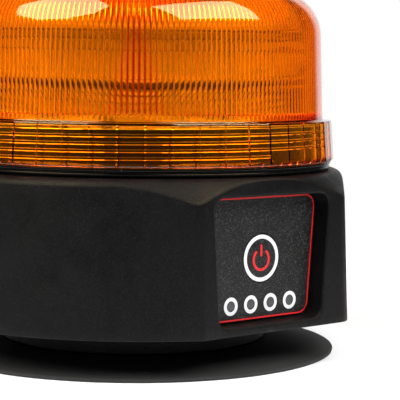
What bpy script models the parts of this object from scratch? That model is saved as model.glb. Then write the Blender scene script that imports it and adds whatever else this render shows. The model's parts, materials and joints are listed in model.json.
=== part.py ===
"""Rechargeable LED warning beacon with a magnetic rubber foot, as separate named parts.

The world origin is on the beacon's axis at the surface it stands on, +Z points up and the control
panel faces -Y. Sizes below are in millimetres, and every helper turns them into Blender's metres.
An azimuth is measured round the axis from the panel's normal, -Y, towards +X.
"""

import math

import bmesh
import bpy
from mathutils import Matrix, Vector

MM = 0.001
GAP = 0.3  # clearance between two pieces that would touch

# Housing: a round wall with draft, a flat panel face in front and flat flanks tangent to the wall
HOUSING_BOTTOM = 13.4
DECK_TOP = 61.9
DECK_THICKNESS = 2.5
WALL = 3.2
RIM_WALL = 2.2  # thinner lower rim, which the bottom cover sits in
RIM_TOP = 19.6
COVER_GAP = 0.4  # between the rim and the cover that sits in it
SEAL_WIDTH = 2.6
WALL_RADIUS_BOTTOM = 73.7
WALL_RADIUS_TOP = 70.9
PANEL_DISTANCE = 69.5
PANEL_RIGHT_BOTTOM = 34.0  # the panel's right corner leans out towards the ground
PANEL_LEFT_BOTTOM = 28.2
PANEL_HALF_WIDTH_TOP = 31.3
RIGHT_FILLET_BOTTOM = 7.0
LEFT_FILLET_BOTTOM = 3.0
CORNER_FILLET_TOP = 8.0
RIM_FRONT = 60.6  # the rim runs straight across behind the panel's pocket
SHOULDER = ((0, 61.9), (68.0, 61.9), (69.6, 61.4), (71.3, 59.8), (73.3, 57.4), (75.6, 54.8), (79, 50.6))

# Control panel, in the panel's own frame: x across, y up from the ground, z out of the face
RECESS_DEPTH = 5.5
OVERLAY_THICKNESS = 0.5
POCKET_FLOOR = 2.2
POCKET_WALL = 2.2
RECESS_BOTTOM = 16.2
RECESS_TOP = 56.1
RECESS_HALF_WIDTH_BOTTOM = 21.7
RECESS_HALF_WIDTH_TOP = 24.8
RECESS_CORNER = 4.0
OVERLAY_BOTTOM = 17.1
OVERLAY_TOP = 55.75
OVERLAY_HALF_WIDTH_BOTTOM = 20.55
OVERLAY_HALF_WIDTH_TOP = 23.55
OVERLAY_CORNER = 4.0
BUTTON_HEIGHT = 36.2
BUTTON_RADIUS = 7.5
BUTTON_CLEARANCE = 0.35
WINDOW_HEIGHT = 21.9
WINDOW_SPACING = 8.4
WINDOW_RADIUS = 1.6
WINDOW_COUNT = 4
BOARD_FRONT = -16.0  # control board's front face, behind the panel face
BOARD_THICKNESS = 1.6
BOARD_SCREW_X = 19.0
BOARD_SCREW_HEIGHT = 36.0

# Lens and its mount
SPIGOT_OUTER = 64.0
SPIGOT_INNER = 61.4
SPIGOT_TOP = 76.6
SPIGOT_FLANGE = 56.0  # inner radius of the flange that the mount ring stands on
SPIGOT_FLANGE_THICKNESS = 2.0
COLLAR_BOTTOM = 65.2
COLLAR_RADIUS_BOTTOM = 68.0
COLLAR_RADIUS_TOP = 67.0
COLLAR_TOP = 78.5
COLLAR_BORE = 64.9
LENS_WALL = 2.6
LENS_WALL_RADIUS_BOTTOM = 64.1
LENS_WALL_RADIUS_TOP = 63.1
LENS_SHOULDER_RADIUS = 15.2
LENS_SHOULDER_HEIGHT = 106.5
LENS_SHOULDER_ANGLE = 80.0  # degrees of shoulder arc before the crown begins

# Lamp tower under the lens
TOWER_RADIUS = 35.0
TOWER_BASE_RADIUS = 38.0
TOWER_BASE_TOP = 65.5
OPTIC_INNER = 30.0
SPACER_BOTTOM = 89.4
SPACER_TOP = 92.4
OPTIC_TOP = 107.0
HEAT_SINK_RADIUS = 24.0
HEAT_SINK_TOP = 106.9
WAIST_RADIUS = 13.0  # the heat sink's waist between the two rows of lamps
WAIST_BOTTOM = 88.5
WAIST_TOP = 91.7
BOARD_NECK = 3.0
LED_ROWS = (84.0, 100.0)
LED_FACES = 6
TOWER_SCREW_RADIUS = 27.2
LED_BOARD_HALF_WIDTH = 9.5
LED_BOARD_BOTTOM = 69.0
LED_BOARD_TOP = 106.6
LED_BOARD_THICKNESS = 1.6
LED_HALF_WIDTH = 3.5
LED_FRONT = 3.2  # from the board's back

# Bottom cover, magnet and rubber foot
COVER_BOTTOM = 13.9
COVER_TOP = 17.4
SEAL_TOP = 19.3
NECK_OUTER = 45.3
NECK_INNER = 41.8
NECK_BOTTOM = 4.4
FOOT_RADIUS = 68.8
FOOT_RIM = 1.0
FOOT_DISC_TOP = 3.1
FOOT_SHOULDER_TOP = 4.1
SUCTION_INNER = 42.0
SUCTION_OUTER = 64.0
POT_TOP = 12.4
POT_WALL = 1.6
MAGNET_BORE = 8.0
BOLT_RADIUS = 2.4
COVER_SCREW_OFFSET = 41.5  # each cover screw's distance from the XZ and YZ planes

# Battery and charging parts
CELL_RADIUS = 9.2
CELL_LENGTH = 65.0
CELL_HEIGHT = 27.5
CELL_ROWS = (-38.0, -17.0)
DRIVER_TOP = 25.6
DRIVER_Y = 30.0
PORT_FLOOR = 69.2
PORT_BOTTOM = 26.4
PORT_TOP = 41.0
PORT_HALF_WIDTH = 11.0
JACK_HEIGHT = 34.5
JACK_RADIUS = 3.8
JACK_BORE = 2.9
CAP_THICKNESS = 2.4
CAP_HINGE_Y = 70.7
CAP_HINGE_HEIGHT = 28.6
CAP_BOSS_RADIUS = 2.4

ROUND_STEPS = 32
FINE_STEPS = 44
SMALL_STEPS = 12

PARTS = "led_warning_beacon"
CUTTERS = "cutters"


def mix(low, high, share):
    return low + (high - low) * share


def clear_scene():
    for item in list(bpy.data.objects):
        bpy.data.objects.remove(item, do_unlink=True)


def add_collection(name, shown):
    collection = bpy.data.collections.new(name)
    collection.hide_render = not shown
    bpy.context.scene.collection.children.link(collection)


def add_material(name, colour, roughness, metallic=0.0, transmission=0.0):
    material = bpy.data.materials.new(name)
    material.use_nodes = True
    shader = material.node_tree.nodes["Principled BSDF"]
    shader.inputs["Base Color"].default_value = (*colour, 1.0)
    shader.inputs["Roughness"].default_value = roughness
    shader.inputs["Metallic"].default_value = metallic
    shader.inputs["Transmission Weight"].default_value = transmission
    material.diffuse_color = (*colour, 1.0)
    return material


def add_materials():
    add_material("amber_lens", (0.95, 0.36, 0.02), 0.12, transmission=0.7)
    add_material("housing_black", (0.022, 0.022, 0.024), 0.62)
    add_material("overlay_black", (0.018, 0.018, 0.02), 0.5)
    add_material("button_white", (0.82, 0.83, 0.84), 0.45)
    add_material("window_grey", (0.12, 0.12, 0.13), 0.3)
    add_material("seal_rubber", (0.012, 0.012, 0.013), 0.35)
    add_material("foot_rubber", (0.015, 0.015, 0.015), 0.8)
    add_material("cap_rubber", (0.02, 0.02, 0.021), 0.75)
    add_material("zinc_steel", (0.6, 0.6, 0.6), 0.35, metallic=1.0)
    add_material("magnet_nickel", (0.5, 0.49, 0.47), 0.3, metallic=1.0)
    add_material("sink_metal", (0.6, 0.59, 0.57), 0.45, metallic=1.0)
    add_material("board_green", (0.02, 0.14, 0.05), 0.5)
    add_material("board_white", (0.8, 0.8, 0.76), 0.5)
    add_material("led_white", (0.9, 0.86, 0.6), 0.3)
    add_material("component_black", (0.03, 0.03, 0.032), 0.45)
    add_material("cell_wrap", (0.05, 0.16, 0.4), 0.4)
    add_material("optic_clear", (0.9, 0.9, 0.88), 0.08, transmission=0.9)
    add_material("tower_black", (0.03, 0.03, 0.03), 0.5)
    add_material("tower_grey", (0.35, 0.34, 0.32), 0.5)
    add_material("lead_red", (0.6, 0.03, 0.03), 0.5)
    add_material("lead_black", (0.02, 0.02, 0.02), 0.5)


def add_object(name, mesh, material=None):
    """Adds a mesh as a part, or as a hidden Boolean helper where it has no material."""
    item = bpy.data.objects.new(name, mesh)
    if material:
        mesh.materials.clear()
        mesh.materials.append(bpy.data.materials[material])
        bpy.data.collections[PARTS].objects.link(item)
    else:
        item.hide_render = True
        item.display_type = "WIRE"
        bpy.data.collections[CUTTERS].objects.link(item)
    return item


def mesh_from(build, name):
    mesh = bpy.data.meshes.new(name)
    shape = bmesh.new()
    build(shape)
    shape.to_mesh(mesh)
    shape.free()
    return mesh


def add_box(name, low, high, material=None):
    size = [(b - a) * MM for a, b in zip(low, high)]
    centre = [(a + b) / 2 * MM for a, b in zip(low, high)]
    place = Matrix.LocRotScale(Vector(centre), None, Vector(size))
    mesh = mesh_from(lambda shape: bmesh.ops.create_cube(shape, size=1.0, matrix=place), name)
    return add_object(name, mesh, material)


def add_cylinder(name, radius, bottom, top, material=None, at=(0, 0), steps=SMALL_STEPS):
    """An upright cylinder from height bottom to height top."""
    place = Matrix.Translation(Vector((at[0], at[1], (bottom + top) / 2)) * MM)

    def build(shape):
        bmesh.ops.create_cone(
            shape, cap_ends=True, segments=steps, radius1=radius * MM, radius2=radius * MM,
            depth=(top - bottom) * MM, matrix=place,
        )

    return add_object(name, mesh_from(build, name), material)


def add_turned(name, profile, material=None, steps=ROUND_STEPS, closed=False, at=(0, 0)):
    """Turns (radius, height) points, listed down the outer side, round the vertical through at."""
    points = [Vector((radius, 0, height)) * MM for radius, height in profile]
    edges = [(i, i + 1) for i in range(len(points) - 1)]
    if closed:
        edges.append((len(points) - 1, 0))
    mesh = bpy.data.meshes.new(name)
    mesh.from_pydata(points, edges, [])
    item = add_object(name, mesh, material)
    item.location = Vector((at[0], at[1], 0)) * MM
    screw = item.modifiers.new("turn", "SCREW")
    screw.axis = "Z"
    screw.steps = steps
    screw.render_steps = steps
    screw.use_merge_vertices = True
    screw.merge_threshold = 1e-5
    return item


def add_prism(name, outlines, bottom, top, material=None):
    """A flat outline, with any holes as further outlines, extruded from height bottom to top."""
    curve = bpy.data.curves.new(name, "CURVE")
    curve.dimensions = "2D"
    curve.fill_mode = "BOTH"
    curve.extrude = (top - bottom) / 2 * MM
    for outline in outlines:
        spline = curve.splines.new("POLY")
        spline.points.add(len(outline) - 1)
        for point, (x, y) in zip(spline.points, outline):
            point.co = (x * MM, y * MM, 0, 1)
        spline.use_cyclic_u = True
    middle = Matrix.Translation((0, 0, (top + bottom) / 2 * MM))
    mesh = mesh_of_curve(name, curve, middle)
    return add_object(name, mesh, material)


def mesh_of_curve(name, curve, place):
    """The closed mesh of a curve, its caps welded on and its points moved by place."""
    holder = bpy.data.objects.new(name + "_curve", curve)
    bpy.context.scene.collection.objects.link(holder)
    graph = bpy.context.evaluated_depsgraph_get()
    mesh = bpy.data.meshes.new_from_object(holder.evaluated_get(graph))
    bpy.data.objects.remove(holder)
    shape = bmesh.new()
    shape.from_mesh(mesh)
    bmesh.ops.remove_doubles(shape, verts=shape.verts, dist=1e-6)
    bmesh.ops.transform(shape, matrix=place, verts=shape.verts)
    bmesh.ops.recalc_face_normals(shape, faces=shape.faces)
    shape.to_mesh(mesh)
    shape.free()
    mesh.name = name
    return mesh


def add_tube(name, points, radius, material):
    """A wire through the given points, smoothed by a Catmull-Rom curve."""
    curve = bpy.data.curves.new(name, "CURVE")
    curve.dimensions = "3D"
    curve.bevel_depth = radius * MM
    curve.bevel_resolution = 2
    curve.use_fill_caps = True
    route = smooth_route([Vector(point) for point in points], per_span=3)
    spline = curve.splines.new("POLY")
    spline.points.add(len(route) - 1)
    for point, place in zip(spline.points, route):
        point.co = (*(place * MM), 1)
    curve.materials.append(bpy.data.materials[material])
    item = bpy.data.objects.new(name, curve)
    bpy.data.collections[PARTS].objects.link(item)
    return item


def smooth_route(points, per_span):
    ends = [points[0] * 2 - points[1], *points, points[-1] * 2 - points[-2]]
    route = []
    for before, start, end, after in zip(ends, ends[1:], ends[2:], ends[3:]):
        for step in range(per_span):
            t = step / per_span
            bend = (before * 2 - start * 5 + end * 4 - after) * t * t
            twist = (start * 3 - end * 3 + after - before) * t ** 3
            route.append((start * 2 + (end - before) * t + bend + twist) / 2)
    return [*route, points[-1]]


def combine(target, operation, *others):
    for other in others:
        boolean = target.modifiers.new(f"{operation.lower()}_{other.name}", "BOOLEAN")
        boolean.operation = operation
        boolean.solver = "EXACT"
        boolean.object = other


def cut(target, *cutters):
    combine(target, "DIFFERENCE", *cutters)


def join(target, *pieces):
    combine(target, "UNION", *pieces)


def keep_inside(target, *limits):
    combine(target, "INTERSECT", *limits)


def baked_mesh(item):
    """The object's mesh with its modifiers applied, for copies to share."""
    bpy.context.view_layer.update()
    graph = bpy.context.evaluated_depsgraph_get()
    return bpy.data.meshes.new_from_object(item.evaluated_get(graph))


def add_panel_frame():
    """An empty whose x runs across the panel, y up it and z straight out of it."""
    frame = bpy.data.objects.new("panel_frame", None)
    frame.rotation_euler = (math.radians(90), 0, 0)
    frame.location = (0, -PANEL_DISTANCE * MM, 0)
    bpy.context.scene.collection.objects.link(frame)
    return frame


def on_panel(frame, *items):
    for item in items:
        item.parent = frame


def housing_side(height, inset, corner_bottom, fillet_bottom):
    """One side of the housing's outline, as (x, y) points from the panel round to the back."""
    share = (height - HOUSING_BOTTOM) / (DECK_TOP - HOUSING_BOTTOM)
    radius = mix(WALL_RADIUS_BOTTOM, WALL_RADIUS_TOP, share)
    half_width = mix(corner_bottom, PANEL_HALF_WIDTH_TOP, share)
    to_corner = math.hypot(half_width, PANEL_DISTANCE)
    flank = math.atan2(half_width, PANEL_DISTANCE) + math.acos(radius / to_corner)
    fillet = max(mix(fillet_bottom, CORNER_FILLET_TOP, share) - inset, 0.4)
    radius -= inset
    distance = PANEL_DISTANCE - inset
    corner_x = (radius - distance * math.cos(flank)) / math.sin(flank)
    fillet_x = corner_x - fillet * math.tan(flank / 2)
    fillet_y = -(distance - fillet)
    side = []
    for step in range(5):
        turn = flank * step / 4
        side.append((fillet_x + fillet * math.sin(turn), fillet_y - fillet * math.cos(turn)))
    wall_steps = 18
    for step in range(wall_steps + 1):
        turn = mix(flank, math.pi, step / wall_steps)
        side.append((radius * math.sin(turn), -radius * math.cos(turn)))
    return side


def housing_section(height, inset=0.0):
    """The housing's outline at one height, as (x, y) points from the panel's centre round by +X."""
    right = housing_side(height, inset, PANEL_RIGHT_BOTTOM, RIGHT_FILLET_BOTTOM)
    left = housing_side(height, inset, PANEL_LEFT_BOTTOM, LEFT_FILLET_BOTTOM)
    return [*right, *((-x, y) for x, y in reversed(left[:-1]))]


def add_loft(name, sections, material=None):
    """Joins outlines of equal point count, given as (height, points), into one closed body."""

    def build(shape):
        rings = []
        for height, outline in sections:
            rings.append([shape.verts.new(Vector((x, y, height)) * MM) for x, y in outline])
        count = len(rings[0])
        for lower, upper in zip(rings, rings[1:]):
            for i in range(count):
                j = (i + 1) % count
                shape.faces.new((lower[i], lower[j], upper[j], upper[i]))
        shape.faces.new(reversed(rings[0]))
        shape.faces.new(rings[-1])

    return add_object(name, mesh_from(build, name), material)


def housing_loft(name, bottom, top, inset, material=None, levels=2):
    heights = [mix(bottom, top, level / levels) for level in range(levels + 1)]
    return add_loft(name, [(h, housing_section(h, inset)) for h in heights], material)


def cut_front(item, front):
    """Cuts the item straight across, clear of the panel's pocket."""
    cut(item, add_box(f"{item.name}_front", (-60, -80, 5), (60, -front, 30)))


def rounded_trapezoid(bottom, top, half_bottom, half_top, corner, steps=5):
    """A trapezoid's outline, anticlockwise from the lower right, with equal corner radii."""
    corners = [
        Vector((half_bottom, bottom)),
        Vector((half_top, top)),
        Vector((-half_top, top)),
        Vector((-half_bottom, bottom)),
    ]
    outline = []
    for i, point in enumerate(corners):
        before = (corners[i - 1] - point).normalized()
        after = (corners[(i + 1) % 4] - point).normalized()
        half_angle = before.angle(after) / 2
        centre = point + (before + after).normalized() * (corner / math.sin(half_angle))
        first = point + before * (corner / math.tan(half_angle)) - centre
        sweep = math.pi - 2 * half_angle
        for step in range(steps + 1):
            spoke = Matrix.Rotation(sweep * step / steps, 2) @ first
            outline.append(tuple(centre + spoke))
    return outline


def recess_outline(grow=0.0):
    slope = (RECESS_HALF_WIDTH_TOP - RECESS_HALF_WIDTH_BOTTOM) / (RECESS_TOP - RECESS_BOTTOM)
    return rounded_trapezoid(
        RECESS_BOTTOM - grow, RECESS_TOP + grow,
        RECESS_HALF_WIDTH_BOTTOM + grow - slope * grow,
        RECESS_HALF_WIDTH_TOP + grow + slope * grow,
        RECESS_CORNER + grow,
    )


def overlay_outline():
    return rounded_trapezoid(
        OVERLAY_BOTTOM, OVERLAY_TOP, OVERLAY_HALF_WIDTH_BOTTOM, OVERLAY_HALF_WIDTH_TOP, OVERLAY_CORNER
    )


def window_places():
    first = -WINDOW_SPACING * (WINDOW_COUNT - 1) / 2
    return [(first + WINDOW_SPACING * i, WINDOW_HEIGHT) for i in range(WINDOW_COUNT)]


def cover_screw_places():
    reach = COVER_SCREW_OFFSET
    return [(reach, -reach), (reach, reach), (-reach, reach), (-reach, -reach)]


def tower_screw_places():
    turns = [math.radians(30 + 120 * i) for i in range(3)]
    return [(TOWER_SCREW_RADIUS * math.cos(t), TOWER_SCREW_RADIUS * math.sin(t)) for t in turns]


def add_housing_cavity(frame):
    """The space inside the housing, kept clear of the panel's pocket and the charge port."""
    cavity = housing_loft("cavity", RIM_TOP - 0.5, DECK_TOP, WALL)
    ceiling = DECK_TOP - DECK_THICKNESS
    limit = add_turned(
        "cavity_limit",
        [(0, ceiling), (65.0, ceiling), (69.5, ceiling - 4.6), (76, ceiling - 12), (76, 10), (0, 10)],
    )
    pocket_back = RECESS_DEPTH + OVERLAY_THICKNESS + GAP + POCKET_FLOOR
    pocket = add_prism("pocket_block", [recess_outline(POCKET_WALL)], -pocket_back, 4)
    ribs = add_box(
        "board_posts", (-BOARD_SCREW_X - 2.6, BOARD_SCREW_HEIGHT - 2.6, BOARD_FRONT + GAP),
        (BOARD_SCREW_X + 2.6, BOARD_SCREW_HEIGHT + 2.6, -pocket_back + 1),
    )
    rib_gap = add_box(
        "board_post_gap", (-BOARD_SCREW_X + 2.6, 0, BOARD_FRONT - 2),
        (BOARD_SCREW_X - 2.6, 60, -pocket_back),
    )
    on_panel(frame, pocket, ribs, rib_gap)
    cut(ribs, rib_gap)
    port = add_box(
        "port_block", (-PORT_HALF_WIDTH - 2.2, PORT_FLOOR - 3.0, PORT_BOTTOM - 2.2),
        (PORT_HALF_WIDTH + 2.2, 80, PORT_TOP + 2.2),
    )
    keep_inside(cavity, limit)
    cut(cavity, pocket, ribs, port)
    return cavity


def add_base_housing(frame):
    housing = housing_loft("base_housing", HOUSING_BOTTOM, DECK_TOP + 2, 0.0, "housing_black", levels=2)
    keep_inside(housing, add_turned("shoulder_limit", [*SHOULDER, (79, 8), (0, 8)], steps=FINE_STEPS))
    rim = housing_loft("rim_cavity", HOUSING_BOTTOM - 2, RIM_TOP, RIM_WALL, levels=1)
    cut_front(rim, RIM_FRONT)
    cut(housing, add_housing_cavity(frame), rim)
    for i, place in enumerate(cover_screw_places()):
        boss = add_cylinder(f"boss_{i}", 4.2, RIM_TOP, DECK_TOP - 1, at=place)
        join(housing, boss)
    floor = RECESS_DEPTH + OVERLAY_THICKNESS + GAP
    recess = add_prism("recess", [recess_outline()], -floor, 3)
    button_hole = add_cylinder(
        "button_hole", BUTTON_RADIUS + BUTTON_CLEARANCE, -floor - 4, 0, at=(0, BUTTON_HEIGHT), steps=24
    )
    on_panel(frame, recess, button_hole)
    cut(housing, recess, button_hole)
    for i, place in enumerate(window_places()):
        hole = add_cylinder(f"window_hole_{i}", WINDOW_RADIUS + GAP, -floor - 4, 0, at=place)
        on_panel(frame, hole)
        cut(housing, hole)
    for side in (-1, 1):
        place = (side * BOARD_SCREW_X, BOARD_SCREW_HEIGHT)
        hole = add_cylinder(f"board_screw_hole_{side}", 1.3, BOARD_FRONT - 1, -floor - 3, at=place, steps=12)
        on_panel(frame, hole)
        cut(housing, hole)
    cut_port(housing)
    for i, place in enumerate(cover_screw_places()):
        cut(housing, add_cylinder(f"boss_hole_{i}", 1.9, RIM_TOP - 1, 33, at=place, steps=12))
    for i, place in enumerate(tower_screw_places()):
        cut(housing, add_cylinder(f"deck_hole_{i}", 1.7, DECK_TOP - 8, DECK_TOP + 2, at=place, steps=12))
    cut(housing, add_cylinder("cable_hole", 4.0, DECK_TOP - 8, DECK_TOP + 2))


def add_lens_mount_ring():
    bottom = DECK_TOP + GAP
    profile = [
        (SPIGOT_INNER, SPIGOT_TOP), (SPIGOT_OUTER - 0.5, SPIGOT_TOP), (SPIGOT_OUTER, SPIGOT_TOP - 0.5),
        (SPIGOT_OUTER, bottom), (SPIGOT_FLANGE, bottom), (SPIGOT_FLANGE, bottom + SPIGOT_FLANGE_THICKNESS),
        (SPIGOT_INNER, bottom + SPIGOT_FLANGE_THICKNESS),
    ]
    add_turned("lens_mount_ring", profile, "housing_black", steps=FINE_STEPS, closed=True)


def cut_port(housing):
    pocket = add_box(
        "port_pocket", (-PORT_HALF_WIDTH, PORT_FLOOR, PORT_BOTTOM), (PORT_HALF_WIDTH, 80, PORT_TOP)
    )
    jack_hole = add_cylinder("jack_hole", JACK_RADIUS + GAP, 60, 75, steps=20)
    jack_hole.rotation_euler = (math.radians(-90), 0, 0)
    jack_hole.location = (0, 0, JACK_HEIGHT * MM)
    cut(housing, pocket, jack_hole)


def add_bottom_cover():
    outline = housing_section(COVER_TOP, RIM_WALL + COVER_GAP)
    cover = add_prism("bottom_cover", [outline], COVER_BOTTOM, COVER_TOP, "housing_black")
    cut_front(cover, RIM_FRONT - COVER_GAP)
    neck = [
        (NECK_OUTER, COVER_BOTTOM + 1), (NECK_OUTER, NECK_BOTTOM + 0.5), (NECK_OUTER - 0.5, NECK_BOTTOM),
        (NECK_INNER, NECK_BOTTOM), (NECK_INNER, COVER_BOTTOM + 1),
    ]
    join(cover, add_turned("neck", neck, closed=True))
    bore = add_cylinder("magnet_bore", NECK_INNER, NECK_BOTTOM - 1, POT_TOP + GAP, steps=ROUND_STEPS)
    fill = add_cylinder("neck_web", NECK_INNER + 1, POT_TOP + GAP, COVER_TOP - 1, steps=ROUND_STEPS)
    join(cover, fill)
    cut(cover, bore, add_cylinder("bolt_hole", BOLT_RADIUS + GAP, 8, 30))
    for i, place in enumerate(driver_post_places()):
        join(cover, add_cylinder(f"driver_post_{i}", 2.8, COVER_TOP - 1, DRIVER_TOP - 1.6 - GAP, at=place))
        cut(cover, add_cylinder(f"driver_post_hole_{i}", 1.3, COVER_TOP + 2, 30, at=place, steps=12))
    for i, place in enumerate(cover_screw_places()):
        cut(cover, add_cylinder(f"screw_hole_{i}", 1.9, 10, 30, at=place, steps=12))
        cut(cover, add_cylinder(f"screw_seat_{i}", 3.7, 10, COVER_BOTTOM + 2.2, at=place))


def add_cover_seal():
    bottom = COVER_TOP + GAP
    outer = housing_section(SEAL_TOP, RIM_WALL + COVER_GAP)
    inner = housing_section(SEAL_TOP, RIM_WALL + SEAL_WIDTH)
    seal = add_prism("cover_seal", [outer], bottom, SEAL_TOP, "seal_rubber")
    cut_front(seal, RIM_FRONT - COVER_GAP)
    opening = add_prism("cover_seal_opening", [inner], bottom - 1, SEAL_TOP + 1)
    cut_front(opening, RIM_FRONT - SEAL_WIDTH)
    cut(seal, opening)


def add_cover_screws():
    seat = COVER_BOTTOM + 2.2 - GAP
    profile = [(0, 32), (1.1, 32), (1.6, 30.5), (1.6, seat), (3.3, seat), (3.3, seat - 1.4), (2.6, seat - 1.8)]
    for i, place in enumerate(cover_screw_places(), 1):
        screw = add_turned(
            f"cover_screw_{i}", [*profile, (0, seat - 1.8)], "zinc_steel", steps=12, at=place
        )
        socket = add_cylinder(f"screw_socket_{i}", 1.2, seat - 3, seat - 0.8, at=place, steps=6)
        cut(screw, socket)


def add_rubber_foot():
    profile = [
        (0, FOOT_DISC_TOP), (NECK_INNER - 0.6, FOOT_DISC_TOP), (NECK_INNER - 0.2, FOOT_SHOULDER_TOP),
        (NECK_OUTER + 0.8, FOOT_SHOULDER_TOP), (54.0, 3.05), (62.0, 1.75), (FOOT_RADIUS - 0.4, FOOT_RIM),
        (FOOT_RADIUS, FOOT_RIM - 0.3), (FOOT_RADIUS, 0), (SUCTION_OUTER, 0), (SUCTION_OUTER - 4, 0.7),
        (SUCTION_INNER + 3, 1.5), (SUCTION_INNER, 0), (0, 0),
    ]
    add_turned("rubber_foot", profile, "foot_rubber")


def add_magnet_parts():
    pot_radius = NECK_INNER - GAP - 0.2
    pot_bottom = FOOT_DISC_TOP + GAP
    web = POT_TOP - POT_WALL
    pot = [
        (BOLT_RADIUS + GAP, POT_TOP), (pot_radius, POT_TOP), (pot_radius, pot_bottom),
        (pot_radius - POT_WALL, pot_bottom), (pot_radius - POT_WALL, web), (BOLT_RADIUS + GAP, web),
    ]
    add_turned("magnet_pot", pot, "zinc_steel", closed=True)
    magnet_radius = pot_radius - POT_WALL - GAP
    magnet = [
        (MAGNET_BORE, web - GAP), (magnet_radius, web - GAP), (magnet_radius, pot_bottom),
        (MAGNET_BORE, pot_bottom),
    ]
    add_turned("magnet", magnet, "magnet_nickel", closed=True)
    head_top = web - GAP
    bolt = [
        (0, 25), (BOLT_RADIUS - 0.4, 25), (BOLT_RADIUS, 24.4), (BOLT_RADIUS, head_top), (5.5, head_top),
        (5.5, head_top - 2.4), (4.9, head_top - 3), (0, head_top - 3),
    ]
    add_turned("magnet_bolt", bolt, "zinc_steel", steps=SMALL_STEPS)
    washer_top = COVER_TOP + GAP + 1.0
    hole = BOLT_RADIUS + GAP
    washer = [(hole, washer_top), (6.0, washer_top), (6.0, COVER_TOP + GAP), (hole, COVER_TOP + GAP)]
    add_turned("magnet_washer", washer, "zinc_steel", steps=SMALL_STEPS, closed=True)
    nut = add_cylinder("magnet_nut", 4.6, washer_top + GAP, washer_top + GAP + 4, "zinc_steel", steps=6)
    cut(nut, add_cylinder("nut_hole", hole, washer_top - 1, washer_top + 8))


def lens_profile():
    """The lens as (radius, height) points: crown, shoulder, wall and collar, then back up inside."""
    tip = math.radians(LENS_SHOULDER_ANGLE)
    centre = LENS_WALL_RADIUS_TOP - LENS_SHOULDER_RADIUS
    crown_edge = centre + LENS_SHOULDER_RADIUS * math.cos(tip)
    crown_radius = crown_edge / math.cos(tip)
    crown_centre = LENS_SHOULDER_HEIGHT + LENS_SHOULDER_RADIUS * math.sin(tip) - crown_radius * math.sin(tip)

    def skin(inset):
        points = []
        for share in (0.0, 0.5):
            radius = crown_edge * share
            rise = math.sqrt((crown_radius - inset) ** 2 - radius ** 2)
            points.append((radius, crown_centre + rise))
        arc = LENS_SHOULDER_RADIUS - inset
        for step in range(6):
            turn = mix(tip, 0, step / 5)
            points.append((centre + arc * math.cos(turn), LENS_SHOULDER_HEIGHT + arc * math.sin(turn)))
        return points

    outside = [
        *skin(0), (LENS_WALL_RADIUS_BOTTOM, COLLAR_TOP + 0.9), (LENS_WALL_RADIUS_BOTTOM + 0.5, COLLAR_TOP),
        (COLLAR_RADIUS_TOP - 0.4, COLLAR_TOP), (COLLAR_RADIUS_TOP, COLLAR_TOP - 0.4),
        (COLLAR_RADIUS_BOTTOM, COLLAR_BOTTOM + 0.3), (COLLAR_RADIUS_BOTTOM - 0.3, COLLAR_BOTTOM),
    ]
    inside = [
        (COLLAR_BORE, COLLAR_BOTTOM), (COLLAR_BORE, SPIGOT_TOP + 0.4),
        (LENS_WALL_RADIUS_BOTTOM - LENS_WALL, COLLAR_TOP + 0.9), *reversed(skin(LENS_WALL)),
    ]
    return [*outside, *inside]


def add_lens():
    add_turned("lens", lens_profile(), "amber_lens", steps=FINE_STEPS)
    seal_bottom = DECK_TOP + GAP
    seal_top = COLLAR_BOTTOM - GAP
    inner = SPIGOT_OUTER + 0.4
    seal = [
        (inner, seal_top), (67.0, seal_top), (67.0, seal_top - 1.0), (66.4, seal_bottom + 0.7),
        (65.6, seal_bottom), (inner, seal_bottom),
    ]
    add_turned("lens_seal", seal, "seal_rubber", steps=FINE_STEPS, closed=True)


def add_panel_parts(frame):
    front = -RECESS_DEPTH
    back = front - OVERLAY_THICKNESS
    overlay = add_prism("panel_overlay", [overlay_outline()], back, front, "overlay_black")
    hole = add_cylinder(
        "overlay_button_hole", BUTTON_RADIUS + BUTTON_CLEARANCE, back - 1, front + 1,
        at=(0, BUTTON_HEIGHT), steps=24,
    )
    on_panel(frame, overlay, hole)
    cut(overlay, hole)
    for i, place in enumerate(window_places()):
        opening = add_cylinder(f"overlay_window_{i}", WINDOW_RADIUS + GAP, back - 1, front + 1, at=place)
        on_panel(frame, opening)
        cut(overlay, opening)
    floor_back = back - GAP - POCKET_FLOOR
    add_power_button(frame, front, floor_back)
    add_indicators(frame, front, floor_back)
    board_back = BOARD_FRONT - BOARD_THICKNESS
    board = add_box("control_board", (-22, 18.5, board_back), (22, 54, BOARD_FRONT), "board_green")
    on_panel(frame, board)
    for i, side in enumerate((-1, 1), 1):
        place = (side * BOARD_SCREW_X, BOARD_SCREW_HEIGHT)
        opening = add_cylinder(f"board_hole_{i}", 1.4, board_back - 1, BOARD_FRONT + 1, at=place, steps=12)
        screw_head = board_back - GAP
        profile = [
            (0, -11), (1.0, -11), (1.0, screw_head), (2.2, screw_head), (2.2, screw_head - 1.6),
            (0, screw_head - 1.6),
        ]
        screw = add_turned(f"board_screw_{i}", profile, "zinc_steel", steps=12, at=place)
        on_panel(frame, opening, screw)
        cut(board, opening)


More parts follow.
